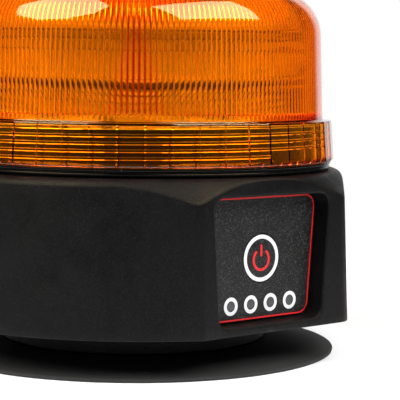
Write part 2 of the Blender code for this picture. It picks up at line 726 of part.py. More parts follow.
def add_power_button(frame, front, floor_back):
    """A flat cap in the overlay with a flange behind the pocket's floor, and the switch it presses."""
    flange_top = floor_back - GAP
    flange_bottom = flange_top - 1.2
    cap = [
        (0, front), (BUTTON_RADIUS, front), (BUTTON_RADIUS, flange_top), (BUTTON_RADIUS + 1.3, flange_top),
        (BUTTON_RADIUS + 1.3, flange_bottom), (0, flange_bottom),
    ]
    at = (0, BUTTON_HEIGHT)
    button = add_turned("power_button", cap, "button_white", steps=24, at=at)
    switch_top = BOARD_FRONT + 3.6
    plunger = add_cylinder(
        "switch_plunger", 1.7, switch_top - 0.2, flange_bottom - GAP, "component_black", at=at
    )
    body = add_box(
        "switch_body", (-3, BUTTON_HEIGHT - 3, BOARD_FRONT + GAP), (3, BUTTON_HEIGHT + 3, switch_top),
        "component_black",
    )
    well = add_cylinder("switch_well", 2.1, switch_top - 1.2, switch_top + 1, at=at)
    on_panel(frame, button, plunger, body, well)
    cut(body, well)


def add_indicators(frame, front, floor_back):
    led_top = BOARD_FRONT + GAP + 1.4
    for i, place in enumerate(window_places(), 1):
        flange = floor_back - GAP
        guide = [
            (0, front), (WINDOW_RADIUS, front), (WINDOW_RADIUS, flange), (WINDOW_RADIUS + 1, flange),
            (WINDOW_RADIUS + 1, flange - 1), (WINDOW_RADIUS, flange - 1), (WINDOW_RADIUS, led_top + GAP),
            (0, led_top + GAP),
        ]
        window = add_turned(f"indicator_window_{i}", guide, "window_grey", steps=SMALL_STEPS, at=place)
        x, y = place
        led = add_box(
            f"status_led_{i}", (x - 1.4, y - 1.4, BOARD_FRONT + GAP), (x + 1.4, y + 1.4, led_top),
            "led_white",
        )
        on_panel(frame, window, led)


def add_battery():
    half_length = CELL_LENGTH / 2
    tray = add_box(
        "battery_tray", (-half_length - 2.5, CELL_ROWS[0] - 10.7, COVER_TOP + GAP),
        (half_length + 2.5, CELL_ROWS[1] + 10.7, CELL_HEIGHT), "component_black",
    )
    for i, y in enumerate(CELL_ROWS, 1):
        trough = add_lying_cylinder(f"trough_{i}", CELL_RADIUS + GAP, half_length + GAP, y)
        cut(tray, trough)
        add_lying_cylinder(f"battery_cell_{i}", CELL_RADIUS, half_length, y, "cell_wrap")


def add_lying_cylinder(name, radius, half_length, y, material=None):
    item = add_cylinder(name, radius, -half_length, half_length, material, steps=24)
    item.rotation_euler = (0, math.radians(90), 0)
    item.location = Vector((0, y, CELL_HEIGHT)) * MM
    return item


def driver_post_places():
    return [(-21.0, DRIVER_Y + 12), (21.0, DRIVER_Y - 12)]


def add_driver():
    board_bottom = DRIVER_TOP - BOARD_THICKNESS
    board = add_box(
        "driver_board", (-25, DRIVER_Y - 16, board_bottom), (25, DRIVER_Y + 16, DRIVER_TOP), "board_green"
    )
    for i, place in enumerate(driver_post_places(), 1):
        cut(board, add_cylinder(f"driver_hole_{i}", 1.4, 20, 30, at=place, steps=12))
        head = DRIVER_TOP + GAP
        profile = [(0, head + 1.6), (2.2, head + 1.6), (2.2, head), (1.0, head), (1.0, head - 5), (0, head - 5)]
        add_turned(f"driver_screw_{i}", profile, "zinc_steel", steps=12, at=place)
    add_cylinder(
        "capacitor", 4.0, DRIVER_TOP + GAP, DRIVER_TOP + 11, "component_black", at=(-14, DRIVER_Y - 4), steps=20
    )
    add_box(
        "inductor", (6, DRIVER_Y, DRIVER_TOP + GAP), (16, DRIVER_Y + 10, DRIVER_TOP + 5), "component_black"
    )


def add_charge_port():
    front = PORT_FLOOR - 0.2
    jack = [
        (0, front - 1.5), (1.0, front - 1.5), (1.0, front - 8.5), (JACK_BORE, front - 8.5),
        (JACK_BORE, front), (JACK_RADIUS, front), (JACK_RADIUS, front - 11), (0, front - 11),
    ]
    jack_turned = add_turned("charge_jack", jack, "component_black", steps=20)
    jack_turned.rotation_euler = (math.radians(-90), 0, 0)
    jack_turned.location = (0, 0, JACK_HEIGHT * MM)
    half_thickness = CAP_THICKNESS / 2
    hinge = Vector((0, CAP_HINGE_Y, CAP_HINGE_HEIGHT))
    top = PORT_TOP - GAP - CAP_HINGE_HEIGHT
    reach = PORT_HALF_WIDTH - 0.4
    cap = add_box("charge_port_cap", (-reach, -half_thickness, 0), (reach, half_thickness, top), "cap_rubber")
    knuckle = add_cylinder("cap_knuckle", half_thickness, -reach, reach)
    knuckle.rotation_euler = (0, math.radians(90), 0)
    lip = add_box("cap_lip", (-3, half_thickness - 1, top - 2.4), (3, half_thickness + 1.2, top - 0.4))
    boss = add_cylinder("cap_boss", CAP_BOSS_RADIUS, -half_thickness - 1.5, 0)
    boss.rotation_euler = (math.radians(-90), 0, 0)
    boss.location = (0, 0, (JACK_HEIGHT - CAP_HINGE_HEIGHT) * MM)
    for helper in (knuckle, lip, boss):
        helper.parent = cap
    join(cap, knuckle, lip, boss)
    cap.location = hinge * MM


def led_board_mesh():
    """One lamp board in its own frame: x across, z up, and +y out towards the lens."""
    out = HEAT_SINK_RADIUS * math.cos(math.pi / LED_FACES) + GAP
    board = add_box(
        "led_board_blank", (-LED_BOARD_HALF_WIDTH, out, LED_BOARD_BOTTOM),
        (LED_BOARD_HALF_WIDTH, out + LED_BOARD_THICKNESS, LED_BOARD_TOP),
    )
    for row, height in enumerate(LED_ROWS):
        chip = add_box(
            f"led_chip_{row}", (-LED_HALF_WIDTH, out + LED_BOARD_THICKNESS / 2, height - LED_HALF_WIDTH),
            (LED_HALF_WIDTH, out + LED_FRONT, height + LED_HALF_WIDTH),
        )
        join(board, chip)
    for side in (-1, 1):
        near, far = sorted((side * BOARD_NECK / 2, side * (LED_BOARD_HALF_WIDTH + 1)))
        cut(board, add_box(f"board_notch_{side}", (near, out - 1, WAIST_BOTTOM), (far, out + 3, WAIST_TOP)))
    return baked_mesh(board)


def add_tower():
    base = [
        (4.3, TOWER_BASE_TOP), (TOWER_BASE_RADIUS - 0.6, TOWER_BASE_TOP), (TOWER_BASE_RADIUS, TOWER_BASE_TOP - 0.6),
        (TOWER_BASE_RADIUS, DECK_TOP + GAP), (4.3, DECK_TOP + GAP),
    ]
    tower_base = add_turned("tower_base", base, "tower_black", closed=True)
    for i, place in enumerate(tower_screw_places(), 1):
        cut(tower_base, add_cylinder(f"tower_base_hole_{i}", 1.8, 60, 70, at=place, steps=12))
        head = TOWER_BASE_TOP + GAP
        profile = [(0, head + 1.8), (2.5, head + 1.8), (2.5, head), (1.3, head), (1.3, 54), (0, 54)]
        add_turned(f"tower_screw_{i}", profile, "zinc_steel", steps=12, at=place)
    sink = add_cylinder(
        "heat_sink", HEAT_SINK_RADIUS, TOWER_BASE_TOP + GAP, HEAT_SINK_TOP, "sink_metal", steps=LED_FACES
    )
    waist = [
        (WAIST_RADIUS, WAIST_TOP), (HEAT_SINK_RADIUS + 2, WAIST_TOP), (HEAT_SINK_RADIUS + 2, WAIST_BOTTOM),
        (WAIST_RADIUS, WAIST_BOTTOM),
    ]
    groove = add_turned("sink_waist", waist, closed=True)
    cut(sink, add_cylinder("sink_bore", 6.0, 60, 100), add_cylinder("sink_thread", 1.9, 90, 120, steps=12), groove)
    board_mesh = led_board_mesh()
    for i in range(LED_FACES):
        board = add_object(f"led_board_{i + 1}", board_mesh, "board_white")
        board.rotation_euler = (0, 0, math.tau * i / LED_FACES + math.pi / 2)
    add_ring("optic_lower", OPTIC_INNER, TOWER_BASE_TOP + GAP, SPACER_BOTTOM - GAP, "optic_clear")
    add_ring("optic_spacer", OPTIC_INNER, SPACER_BOTTOM, SPACER_TOP, "optic_clear")
    add_ring("optic_upper", OPTIC_INNER, SPACER_TOP + GAP, OPTIC_TOP, "optic_clear")
    cap_bottom = OPTIC_TOP + GAP
    cap = [
        (1.9, cap_bottom + 3.2), (6, cap_bottom + 3.2), (TOWER_RADIUS - 4, cap_bottom + 2.6),
        (TOWER_RADIUS, cap_bottom + 1.8), (TOWER_RADIUS, cap_bottom), (1.9, cap_bottom),
    ]
    add_turned("tower_cap", cap, "tower_grey", closed=True)
    head = cap_bottom + 3.2 + GAP
    screw = [(0, head + 2), (2.9, head + 2), (2.9, head), (1.6, head), (1.6, head - 12), (0, head - 12)]
    add_turned("tower_cap_screw", screw, "zinc_steel", steps=12)


def add_ring(name, inner, bottom, top, material):
    profile = [(inner, top), (TOWER_RADIUS, top), (TOWER_RADIUS, bottom), (inner, bottom)]
    add_turned(name, profile, material, closed=True)


def add_wires():
    lead_start = CELL_LENGTH / 2 + 1.6
    add_tube(
        "battery_lead_red",
        [(lead_start, -17, 31), (36, -9, 34), (28, 5, 34), (17, 16, 30), (14, 20, 26.9)], 0.9, "lead_red",
    )
    add_tube(
        "battery_lead_black",
        [(-lead_start, -17, 31), (-36, -9, 34), (-28, 5, 34), (-17, 16, 30), (-14, 19, 26.9)], 0.9,
        "lead_black",
    )
    add_tube("lamp_cable", [(4, 18, 27.6), (4, 15, 33), (3, 8, 42), (0, 1, 52), (0, 0, 65)], 1.5, "lead_black")


def main():
    clear_scene()
    add_collection(PARTS, shown=True)
    add_collection(CUTTERS, shown=False)
    add_materials()
    frame = add_panel_frame()
    add_base_housing(frame)
    add_bottom_cover()
    add_cover_seal()
    add_cover_screws()
    add_rubber_foot()
    add_magnet_parts()
    add_lens_mount_ring()
    add_lens()
    add_panel_parts(frame)
    add_battery()
    add_driver()
    add_charge_port()
    add_tower()
    add_wires()


main()
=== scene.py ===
"""Looks of the LED warning beacon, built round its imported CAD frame.

Sizes are in millimetres and become metres in bare_mesh(). A shape is a pair: its vertices and its faces.
An azimuth is measured round the beacon's axis from the control panel's normal, -Y, towards +X, as it is in
the CAD model.
"""

import json
import math

import bpy
import numpy as np
from mathutils import Matrix, Vector


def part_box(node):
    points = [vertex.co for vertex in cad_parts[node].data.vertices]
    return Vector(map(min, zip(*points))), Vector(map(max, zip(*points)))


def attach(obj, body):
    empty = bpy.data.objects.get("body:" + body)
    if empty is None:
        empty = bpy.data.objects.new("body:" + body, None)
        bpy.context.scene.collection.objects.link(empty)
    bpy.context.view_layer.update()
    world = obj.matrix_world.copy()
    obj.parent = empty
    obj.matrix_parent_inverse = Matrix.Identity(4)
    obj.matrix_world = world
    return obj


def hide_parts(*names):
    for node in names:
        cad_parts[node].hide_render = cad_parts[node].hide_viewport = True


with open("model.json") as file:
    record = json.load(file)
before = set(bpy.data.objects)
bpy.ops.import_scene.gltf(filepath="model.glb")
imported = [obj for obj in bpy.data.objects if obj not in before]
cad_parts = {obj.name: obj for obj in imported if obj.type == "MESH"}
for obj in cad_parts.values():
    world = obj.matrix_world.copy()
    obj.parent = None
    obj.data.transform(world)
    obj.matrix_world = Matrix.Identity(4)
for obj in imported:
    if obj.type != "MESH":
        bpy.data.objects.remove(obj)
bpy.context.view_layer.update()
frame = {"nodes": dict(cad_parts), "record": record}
MM = 0.001
ON_AXIS = 1e-6

# Main sizes, read from the frame
LENS_LOW, LENS_HIGH = (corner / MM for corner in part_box("lens"))
HOUSING_LOW, HOUSING_HIGH = (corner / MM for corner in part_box("base_housing"))
SEAL_LOW, SEAL_HIGH = (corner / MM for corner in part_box("lens_seal"))
FOOT_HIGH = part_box("rubber_foot")[1] / MM
COVER_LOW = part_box("bottom_cover")[0] / MM
MOUNT_LOW, MOUNT_HIGH = (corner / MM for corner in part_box("lens_mount_ring"))
CAP_LOW, CAP_HIGH = (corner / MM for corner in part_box("charge_port_cap"))

# Lens
FLUTES = 225
COLUMNS_PER_FLUTE = 6
FACETS = 50
LENS_COLUMNS = FLUTES * COLUMNS_PER_FLUTE
COLUMNS_PER_FACET = LENS_COLUMNS // FACETS
COLLAR_RADIUS = LENS_HIGH.x
COLLAR_BOTTOM = LENS_LOW.z
COLLAR_TOP = COLLAR_BOTTOM + 13.3
COLLAR_DRAFT = 1.0
COLLAR_BORE = COLLAR_RADIUS - 3.1
GROOVE_DEPTH = 0.32
LENS_WALL = 2.6
WALL_RADIUS_LOW = COLLAR_RADIUS - 3.9
WALL_RADIUS_HIGH = COLLAR_RADIUS - 4.9
SHOULDER_RADIUS = 15.2
SHOULDER_HEIGHT = LENS_HIGH.z - 19.4
SHOULDER_SWEEP = math.radians(80)
FLUTE_DEPTH = 0.55
FLUTE_BOTTOM = COLLAR_TOP + 2.5
FLUTE_CENTRE = 18.0
FLUTE_FADE = 10.0
THREAD_PITCH = 2.33
THREAD_DEPTH = 0.3
THREAD_TURNS = 5
THREAD_START = COLLAR_BOTTOM + 1.66
THREAD_FOOT = 0.52
THREAD_CREST = 0.28
BORE_TOP = COLLAR_TOP - 0.9
THREAD_LIMIT = BORE_TOP - 0.2
THREAD_SQUEEZE = 0.02
SEAM_RELIEF = math.radians(9)
THREAD_RUN_OUT = math.radians(1.5)
LOWEST_TURN_END = math.radians(2)
TOP_TURN_END = math.radians(70)

# Housing
PANEL_DISTANCE = 69.5
WALL_RADIUS_BOTTOM = 73.7
WALL_RADIUS_TOP = 70.9
PANEL_RIGHT_BOTTOM = 34.0
PANEL_LEFT_BOTTOM = 28.2
PANEL_HALF_WIDTH_TOP = 31.3
RIGHT_FILLET_BOTTOM = 7.0
LEFT_FILLET_BOTTOM = 3.0
CORNER_FILLET_TOP = 8.0
RIM_FRONT = 60.6
DECK_TOP = HOUSING_HIGH.z
DECK_BOTTOM = DECK_TOP - 2.5
HOUSING_BOTTOM = HOUSING_LOW.z
SHOULDER_START = 68.0
SHOULDER_KNOTS = (
    (60.0, 0.0), (SHOULDER_START, 0.0), (69.6, -0.5), (71.3, -2.1), (73.3, -4.5), (75.6, -7.1), (79.0, -11.3),
)
SHOULDER_EDGE = 0.9
HOUSING_WALL = 3.2
NECK_OUTER = 45.3
NECK_INNER = 41.8

# Control panel
RECESS_DEPTH = 5.5
RECESS_FLOOR = 6.3
RECESS_BOTTOM = 16.2
RECESS_TOP = 56.1
RECESS_HALF_WIDTH_BOTTOM = 21.7
RECESS_HALF_WIDTH_TOP = 24.8
RECESS_CORNER = 4.0
RECESS_LIP = 0.7
RECESS_WALL = 2.2
OVERLAY_BOTTOM = 17.1
OVERLAY_TOP = 55.75
OVERLAY_HALF_WIDTH_BOTTOM = 20.55
OVERLAY_HALF_WIDTH_TOP = 23.55
OUTLINE_WIDTH = 0.5
FILM_FRONT = -RECESS_DEPTH
PRINT_LOW = FILM_FRONT - 0.02
PRINT_HIGH = FILM_FRONT + 0.06
BUTTON_RADIUS = 7.5
BUTTON_HEIGHT = 36.2
BUTTON_RING_INNER = 6.15
BUTTON_GAP = 0.35
WINDOW_PITCH = 8.4
WINDOW_HEIGHT = 21.9
WINDOW_RADIUS = 1.6
WINDOW_RING_RADIUS = 2.85
WINDOW_GAP = 0.3
SYMBOL_RADIUS = 3.25
SYMBOL_STROKE = 0.82
SYMBOL_GAP = math.radians(42)
SYMBOL_DROP = 0.45
BAR_START = 0.9
BAR_LENGTH = 3.0
PANEL_CUT = (-12.0, -3.0)

# Charge port at the back
PORT_FLOOR = 69.2
PORT_BOTTOM = 26.4
PORT_TOP = 41.0
PORT_HALF_WIDTH = 11.0
JACK_HEIGHT = 34.5
JACK_RADIUS = 3.8
JACK_BORE = 2.9

# Lamp tower
LAMP_FACES = 6
LAMP_HEIGHTS = (84.0, 100.0)
LAMP_SINK_RADIUS = 24.0
LAMP_STANDOFF = 3.5

# Materials
PATCH_SCALE = 60.0
SCUFF_SCALE = 350.0
DUST_COLOUR = (0.55, 0.55, 0.52)
PLASTIC_IOR = 1.58

# Camera and studio
VIEW_AZIMUTH = math.radians(-38.6)
CAMERA_DISTANCE = 533.367
CAMERA_HEIGHT = 93.895
CAMERA_YAW = 0.0423587
CAMERA_PITCH = 0.0816054
CAMERA_ROLL = 0.0120280
CAMERA_LENS = 139.75
SENSOR_WIDTH = 36.0
SOFTBOX_DISTANCE = 1200.0
SOFTBOX_STRENGTH = 9.5
SOFTBOX_REFLECTED = (1.0, 0.78, 0.45)
OCTABOX_RADIUS = 525.0
BACKDROP_EDGE = (0.78, 0.86)
GLOW_EDGE = (-0.97, -0.6)
STUDIO_DARK = (0.015, 0.015, 0.016)
STUDIO_WHITE = (1.0, 1.0, 1.0)
STUDIO_GLOW = (1.12, 1.12, 1.12)
STUDIO_DIM = (0.3, 0.3, 0.3)
FLOOR_REACH = 3000.0
FLOOR_HEIGHT = -0.05
FLOOR_FADE = (0.15, 0.45)


def mix(low, high, share):
    return low + (high - low) * share


# ---- meshes


def bare_mesh(name, shape):
    vertices, faces = shape
    mesh = bpy.data.meshes.new(name)
    mesh.from_pydata((np.asarray(vertices, float) * MM).tolist(), [], faces)
    return mesh


def new_object(name, data):
    item = bpy.data.objects.new(name, data)
    bpy.context.scene.collection.objects.link(item)
    return item


def helper(name, shape):
    """An object that a Boolean uses up, or that stands in the studio."""
    return new_object(name, bare_mesh(name, shape))


def add_piece(name, shape, material, body, replaces=(), smooth=35.0):
    """A piece made from a shape, riding on a body and standing for CAD nodes."""
    mesh = bare_mesh(name, shape)
    mesh.validate()
    return finish_piece(name, mesh, material, body, replaces, smooth)


def keep_helper(blank, name, material, body, replaces, smooth=35.0):
    """A piece made from what the Booleans left of a helper."""
    mesh = blank.data
    bpy.data.objects.remove(blank)
    return finish_piece(name, mesh, material, body, replaces, smooth)


def finish_piece(name, mesh, material, body, replaces, smooth):
    """Gives a mesh its material and shading, and ties the new piece to the CAD frame."""
    mesh.materials.clear()
    mesh.materials.append(bpy.data.materials[material])
    mesh.shade_smooth()
    mesh.set_sharp_from_angle(angle=math.radians(smooth))
    item = new_object(name, mesh)
    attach(item, body)
    if replaces:
        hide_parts(*replaces)
    return item


def ring_faces(rings, columns, closed=False):
    """Quads between neighbouring rings of points, listed from the top ring down the outer side."""
    first = np.arange(rings if closed else rings - 1)[:, None] * columns
    second = (first + columns) % (rings * columns)
    here = np.arange(columns)[None, :]
    there = (here + 1) % columns
    quads = np.stack([first + here, second + here, second + there, first + there], axis=-1)
    return quads.reshape(-1, 4).tolist()


def lofted(rings, closed=False):
    """The shape of rings joined in order, with flat ends unless the last meets the first."""
    rings = np.asarray(rings, float)
    count, columns = rings.shape[:2]
    faces = ring_faces(count, columns, closed)
    if not closed:
        faces.append(list(range(columns)))
        faces.append(list(range((count - 1) * columns, count * columns))[::-1])
    return rings.reshape(-1, 3), faces


def fanned(rings, top, bottom):
    """The shape of rings joined in order, closed by a fan round a point on the axis at each end."""
    rings = np.asarray(rings, float)
    count, columns = rings.shape[:2]
    faces = ring_faces(count, columns)
    tip = count * columns
    last = tip - columns
    for i in range(columns):
        j = (i + 1) % columns
        faces.append([tip, i, j])
        faces.append([tip + 1, last + j, last + i])
    return np.concatenate([rings.reshape(-1, 3), [[0.0, 0.0, top], [0.0, 0.0, bottom]]]), faces


def turned(profile, steps, closed=False):
    """The shape of (radius, height) points turned round Z; a radius of 0 marks an end on the axis."""
    turn = np.arange(steps) * math.tau / steps
    rings = []
    for r, z in profile:
        if r > ON_AXIS:
            rings.append(np.stack([r * np.sin(turn), -r * np.cos(turn), np.full(steps, z)], axis=-1))
    if closed:
        return lofted(rings, closed=True)
    return fanned(rings, profile[0][1], profile[-1][1])


def add_turned(name, corners, steps, material, body, replaces, segments=4, closed=True, smooth=35.0):
    """A piece turned from (radius, height, fillet) corners, open only where it ends on the axis."""
    shape = turned(rounded(corners, segments, closed), steps, closed)
    add_piece(name, shape, material, body, replaces, smooth)


def rounded(points, segments=4, closed=False):
    """Turns each (x, y, fillet) corner of an outline into an arc of that radius."""
    result = []
    count = len(points)
    for i, point in enumerate(points):
        corner = Vector(point[:2])
        fillet = point[2] if len(point) > 2 else 0.0
        if not fillet or (not closed and i in (0, count - 1)):
            result.append(tuple(corner))
            continue
        before = (Vector(points[i - 1][:2]) - corner).normalized()
        after = (Vector(points[(i + 1) % count][:2]) - corner).normalized()
        half = before.angle(after) / 2
        centre = corner + (before + after).normalized() * fillet / math.sin(half)
        spoke = corner + before * fillet / math.tan(half) - centre
        sweep = math.copysign(math.pi - 2 * half, after.x * before.y - after.y * before.x)
        for step in range(segments + 1):
            result.append(tuple(centre + Matrix.Rotation(sweep * step / segments, 2) @ spoke))
    return result


def offset_outline(outline, inset):
    """The closed outline moved inwards by inset, along the mean normal at each point."""
    points = np.asarray(outline, float)
    ahead = np.roll(points, -1, axis=0) - points
    ahead /= np.linalg.norm(ahead, axis=1)[:, None]
    normal = np.stack([-ahead[:, 1], ahead[:, 0]], axis=-1)
    mean = normal + np.roll(normal, 1, axis=0)
    mean /= (mean * mean).sum(axis=1)[:, None] / 2
    return points + mean * inset


def flat_ring(outline, height):
    points = np.asarray(outline, float)
    return np.column_stack([points, np.full(len(points), height)])


def plate(outline, low, high, edge=0.0, segments=3):
    """An anticlockwise outline extruded from low to high with rounded edges."""
    rings = []
    if edge:
        rings.append(flat_ring(offset_outline(outline, edge * 1.3), high))
        for step in range(segments + 1):
            turn = math.pi / 2 * step / segments
            inset = edge * (1 - math.sin(turn))
            rings.append(flat_ring(offset_outline(outline, inset), high - edge * (1 - math.cos(turn))))
        rings += [ring * (1, 1, 0) + (0, 0, low + high - ring[0][2]) for ring in reversed(rings)]
    else:
        rings = [flat_ring(outline, high), flat_ring(outline, low)]
    return lofted(rings)


def band(outer, inner, low, high):
    """A flat closed strip between two outlines of equal point count."""
    rings = [flat_ring(inner, high), flat_ring(outer, high), flat_ring(outer, low), flat_ring(inner, low)]
    return lofted(rings, closed=True)


def circle(radius, steps=64, at=(0.0, 0.0)):
    turns = [math.tau * i / steps for i in range(steps)]
    return [(at[0] + radius * math.cos(t), at[1] + radius * math.sin(t)) for t in turns]


def stroke_outline(path, width, segments=8):
    """The outline of a round-ended stroke along a path of points."""
    points = [Vector(point) for point in path]
    sides = {1: [], -1: []}
    for i, point in enumerate(points):
        along = (points[min(i + 1, len(points) - 1)] - points[max(i - 1, 0)]).normalized()
        across = Vector((along.y, -along.x)) * width / 2
        for side in sides:
            sides[side].append(point + across * side)
    outline = []
    for side, end in ((1, points[-1]), (-1, points[0])):
        outline += sides[side] if side == 1 else reversed(sides[side])
        spoke = outline[-1] - end
        for step in range(1, segments):
            outline.append(end + Matrix.Rotation(math.pi * step / segments, 2) @ spoke)
    return [tuple(point) for point in outline]


def moved(shape, at):
    vertices, faces = shape
    return np.asarray(vertices) + np.asarray(at, float), faces


def on_panel(shape):
    """Moves a shape from the panel's frame (x across, y up, z outwards) to the beacon's."""
    vertices, faces = shape
    across, up, outwards = np.asarray(vertices, float).T
    return np.column_stack([across, -(outwards + PANEL_DISTANCE), up]), faces


def on_back(shape):
    """Moves a shape from the back's frame (x across as seen from behind, y up, z outwards)."""
    vertices, faces = shape
    across, up, outwards = np.asarray(vertices, float).T
    return np.column_stack([-across, outwards, up]), faces


def bool_apply(target, operation, *others):
    """Applies Booleans to the target's mesh and removes their helpers."""
    for other in others:
        modifier = target.modifiers.new("shape", "BOOLEAN")
        modifier.operation = operation
        modifier.solver = "EXACT"
        modifier.object = other
    bpy.context.view_layer.update()
    graph = bpy.context.evaluated_depsgraph_get()
    result = bpy.data.meshes.new_from_object(target.evaluated_get(graph))
    target.modifiers.clear()
    target.data = result
    for other in others:
        bpy.data.objects.remove(other)


# ---- materials


def node(tree, kind, **settings):
    item = tree.nodes.new(kind)
    for name, value in settings.items():
        if name in item.inputs:
            item.inputs[name].default_value = value
        else:
            setattr(item, name, value)
    return item


def noise(tree, place, scale, detail=3.0, rough=0.55):
    """The socket of a noise texture in the object's own coordinates."""
    texture = node(tree, "ShaderNodeTexNoise", Scale=scale, Detail=detail, Roughness=rough)
    tree.links.new(place.outputs["Object"], texture.inputs["Vector"])
    return texture.outputs["Fac"]


def ramp(tree, source, low, high, low_value=0.0, high_value=1.0):
    remap = node(tree, "ShaderNodeMapRange")
    remap.inputs["From Min"].default_value = low
    remap.inputs["From Max"].default_value = high
    remap.inputs["To Min"].default_value = low_value
    remap.inputs["To Max"].default_value = high_value
    tree.links.new(source, remap.inputs["Value"])
    return remap.outputs["Result"]


def mix_colour(tree, share, first, second):
    """Mixes two colours by the share from a socket; each colour is a triple or a socket."""
    item = node(tree, "ShaderNodeMix", data_type="RGBA")
    for socket, value in ((item.inputs[0], share), (item.inputs[6], first), (item.inputs[7], second)):
        if isinstance(value, bpy.types.NodeSocket):
            tree.links.new(value, socket)
        else:
            socket.default_value = (*value, 1.0)
    return item.outputs[2]


def mix_shaders(tree, share, first, second, output):
    """Mixes the shaders of two nodes by a share and makes the mix the material's surface."""
    blend = node(tree, "ShaderNodeMixShader")
    for source, socket in zip((share, first.outputs[0], second.outputs[0]), blend.inputs):
        tree.links.new(source, socket)
    tree.links.new(blend.outputs[0], output.inputs["Surface"])


def new_material(name):
    material = bpy.data.materials.new(name)
    material.use_nodes = True
    return material, material.node_tree


def surface(
    name, colour, roughness, metallic=0.0, variation=0.15, grain=0.0, grain_scale=1500.0, wear=0.0,
    wear_colour=(0.3, 0.3, 0.3), dust=0.0, dust_scale=900.0, dust_from=0.66, rough_variation=0.1,
    specular=0.5, coat=0.0, glow=0.0,
):
    """A moulded, painted or metal surface: patchy colour, fine grain, worn edges and dust specks, and with
    glow, painted light: the surface shines in its own colour though it is no lamp.
    """
    material, tree = new_material(name)
    shader = tree.nodes["Principled BSDF"]
    place = node(tree, "ShaderNodeTexCoord")
    patches = noise(tree, place, PATCH_SCALE, 4.0)
    darker = tuple(value * (1 - variation) for value in colour)
    lighter = tuple(min(value * (1 + variation), 1.0) for value in colour)
    result = mix_colour(tree, ramp(tree, patches, 0.3, 0.7), darker, lighter)
    if wear:
        edges = node(tree, "ShaderNodeNewGeometry").outputs["Pointiness"]
        scuffs = noise(tree, place, SCUFF_SCALE, 5.0)
        worn = node(tree, "ShaderNodeMath", operation="MULTIPLY")
        tree.links.new(ramp(tree, edges, 0.52, 0.62, 0.0, wear), worn.inputs[0])
        tree.links.new(ramp(tree, scuffs, 0.35, 0.65, 0.3, 1.0), worn.inputs[1])
        result = mix_colour(tree, worn.outputs[0], result, wear_colour)
    if dust:
        specks = noise(tree, place, dust_scale, 2.0, 0.7)
        share = ramp(tree, specks, dust_from, dust_from + 0.08, 0.0, dust)
        result = mix_colour(tree, share, result, DUST_COLOUR)
    tree.links.new(result, shader.inputs["Base Color"])
    blotches = noise(tree, place, PATCH_SCALE * 2.5, 5.0)
    smoothest = max(roughness - rough_variation, 0.02)
    roughest = min(roughness + rough_variation, 1.0)
    uneven = ramp(tree, blotches, 0.3, 0.7, smoothest, roughest)
    tree.links.new(uneven, shader.inputs["Roughness"])
    shader.inputs["Metallic"].default_value = metallic
    shader.inputs["Specular IOR Level"].default_value = specular
    shader.inputs["Coat Weight"].default_value = coat
    # Painted light: an emission in the surface's own colour, on parts that are no lamp.
    if glow:
        tree.links.new(result, shader.inputs["Emission Color"])
        shader.inputs["Emission Strength"].default_value = glow
    if grain:
        bump_from(tree, noise(tree, place, grain_scale, 6.0, 0.65), shader, grain, 0.0002)


def bump_from(tree, texture, shader, strength, distance):
    """Lets a texture raise the surface of a shader by up to a distance, which is in metres."""
    bump = node(tree, "ShaderNodeBump", Strength=strength, Distance=distance)
    tree.links.new(texture, bump.inputs["Height"])
    tree.links.new(bump.outputs["Normal"], shader.inputs["Normal"])


def clear_plastic(
    name, colour, roughness, shadow_tint, density=0.0, absorbed=(1.0, 1.0, 1.0), specular=0.5
):
    """A clear moulding; shadow rays pass it tinted, so that what is inside is lit softly."""
    material, tree = new_material(name)
    shader = tree.nodes["Principled BSDF"]
    output = tree.nodes["Material Output"]
    place = node(tree, "ShaderNodeTexCoord")
    patches = noise(tree, place, 40.0, 3.0)
    darker = tuple(value * 0.97 for value in colour)
    result = mix_colour(tree, ramp(tree, patches, 0.3, 0.7), darker, colour)
    tree.links.new(result, shader.inputs["Base Color"])
    haze = noise(tree, place, 120.0, 5.0)
    hazy = ramp(tree, haze, 0.35, 0.7, roughness, roughness * 1.8)
    tree.links.new(hazy, shader.inputs["Roughness"])
    shader.inputs["IOR"].default_value = PLASTIC_IOR
    shader.inputs["Specular IOR Level"].default_value = specular
    shader.inputs["Transmission Weight"].default_value = 1.0
    bump_from(tree, noise(tree, place, 180.0, 2.0), shader, 0.04, 0.0003)
    path = node(tree, "ShaderNodeLightPath")
    through = node(tree, "ShaderNodeBsdfTransparent", Color=(*shadow_tint, 1.0))
    mix_shaders(tree, path.outputs["Is Shadow Ray"], shader, through, output)
    if density:
        volume = node(tree, "ShaderNodeVolumeAbsorption", Color=(*absorbed, 1.0), Density=density)
        tree.links.new(volume.outputs[0], output.inputs["Volume"])


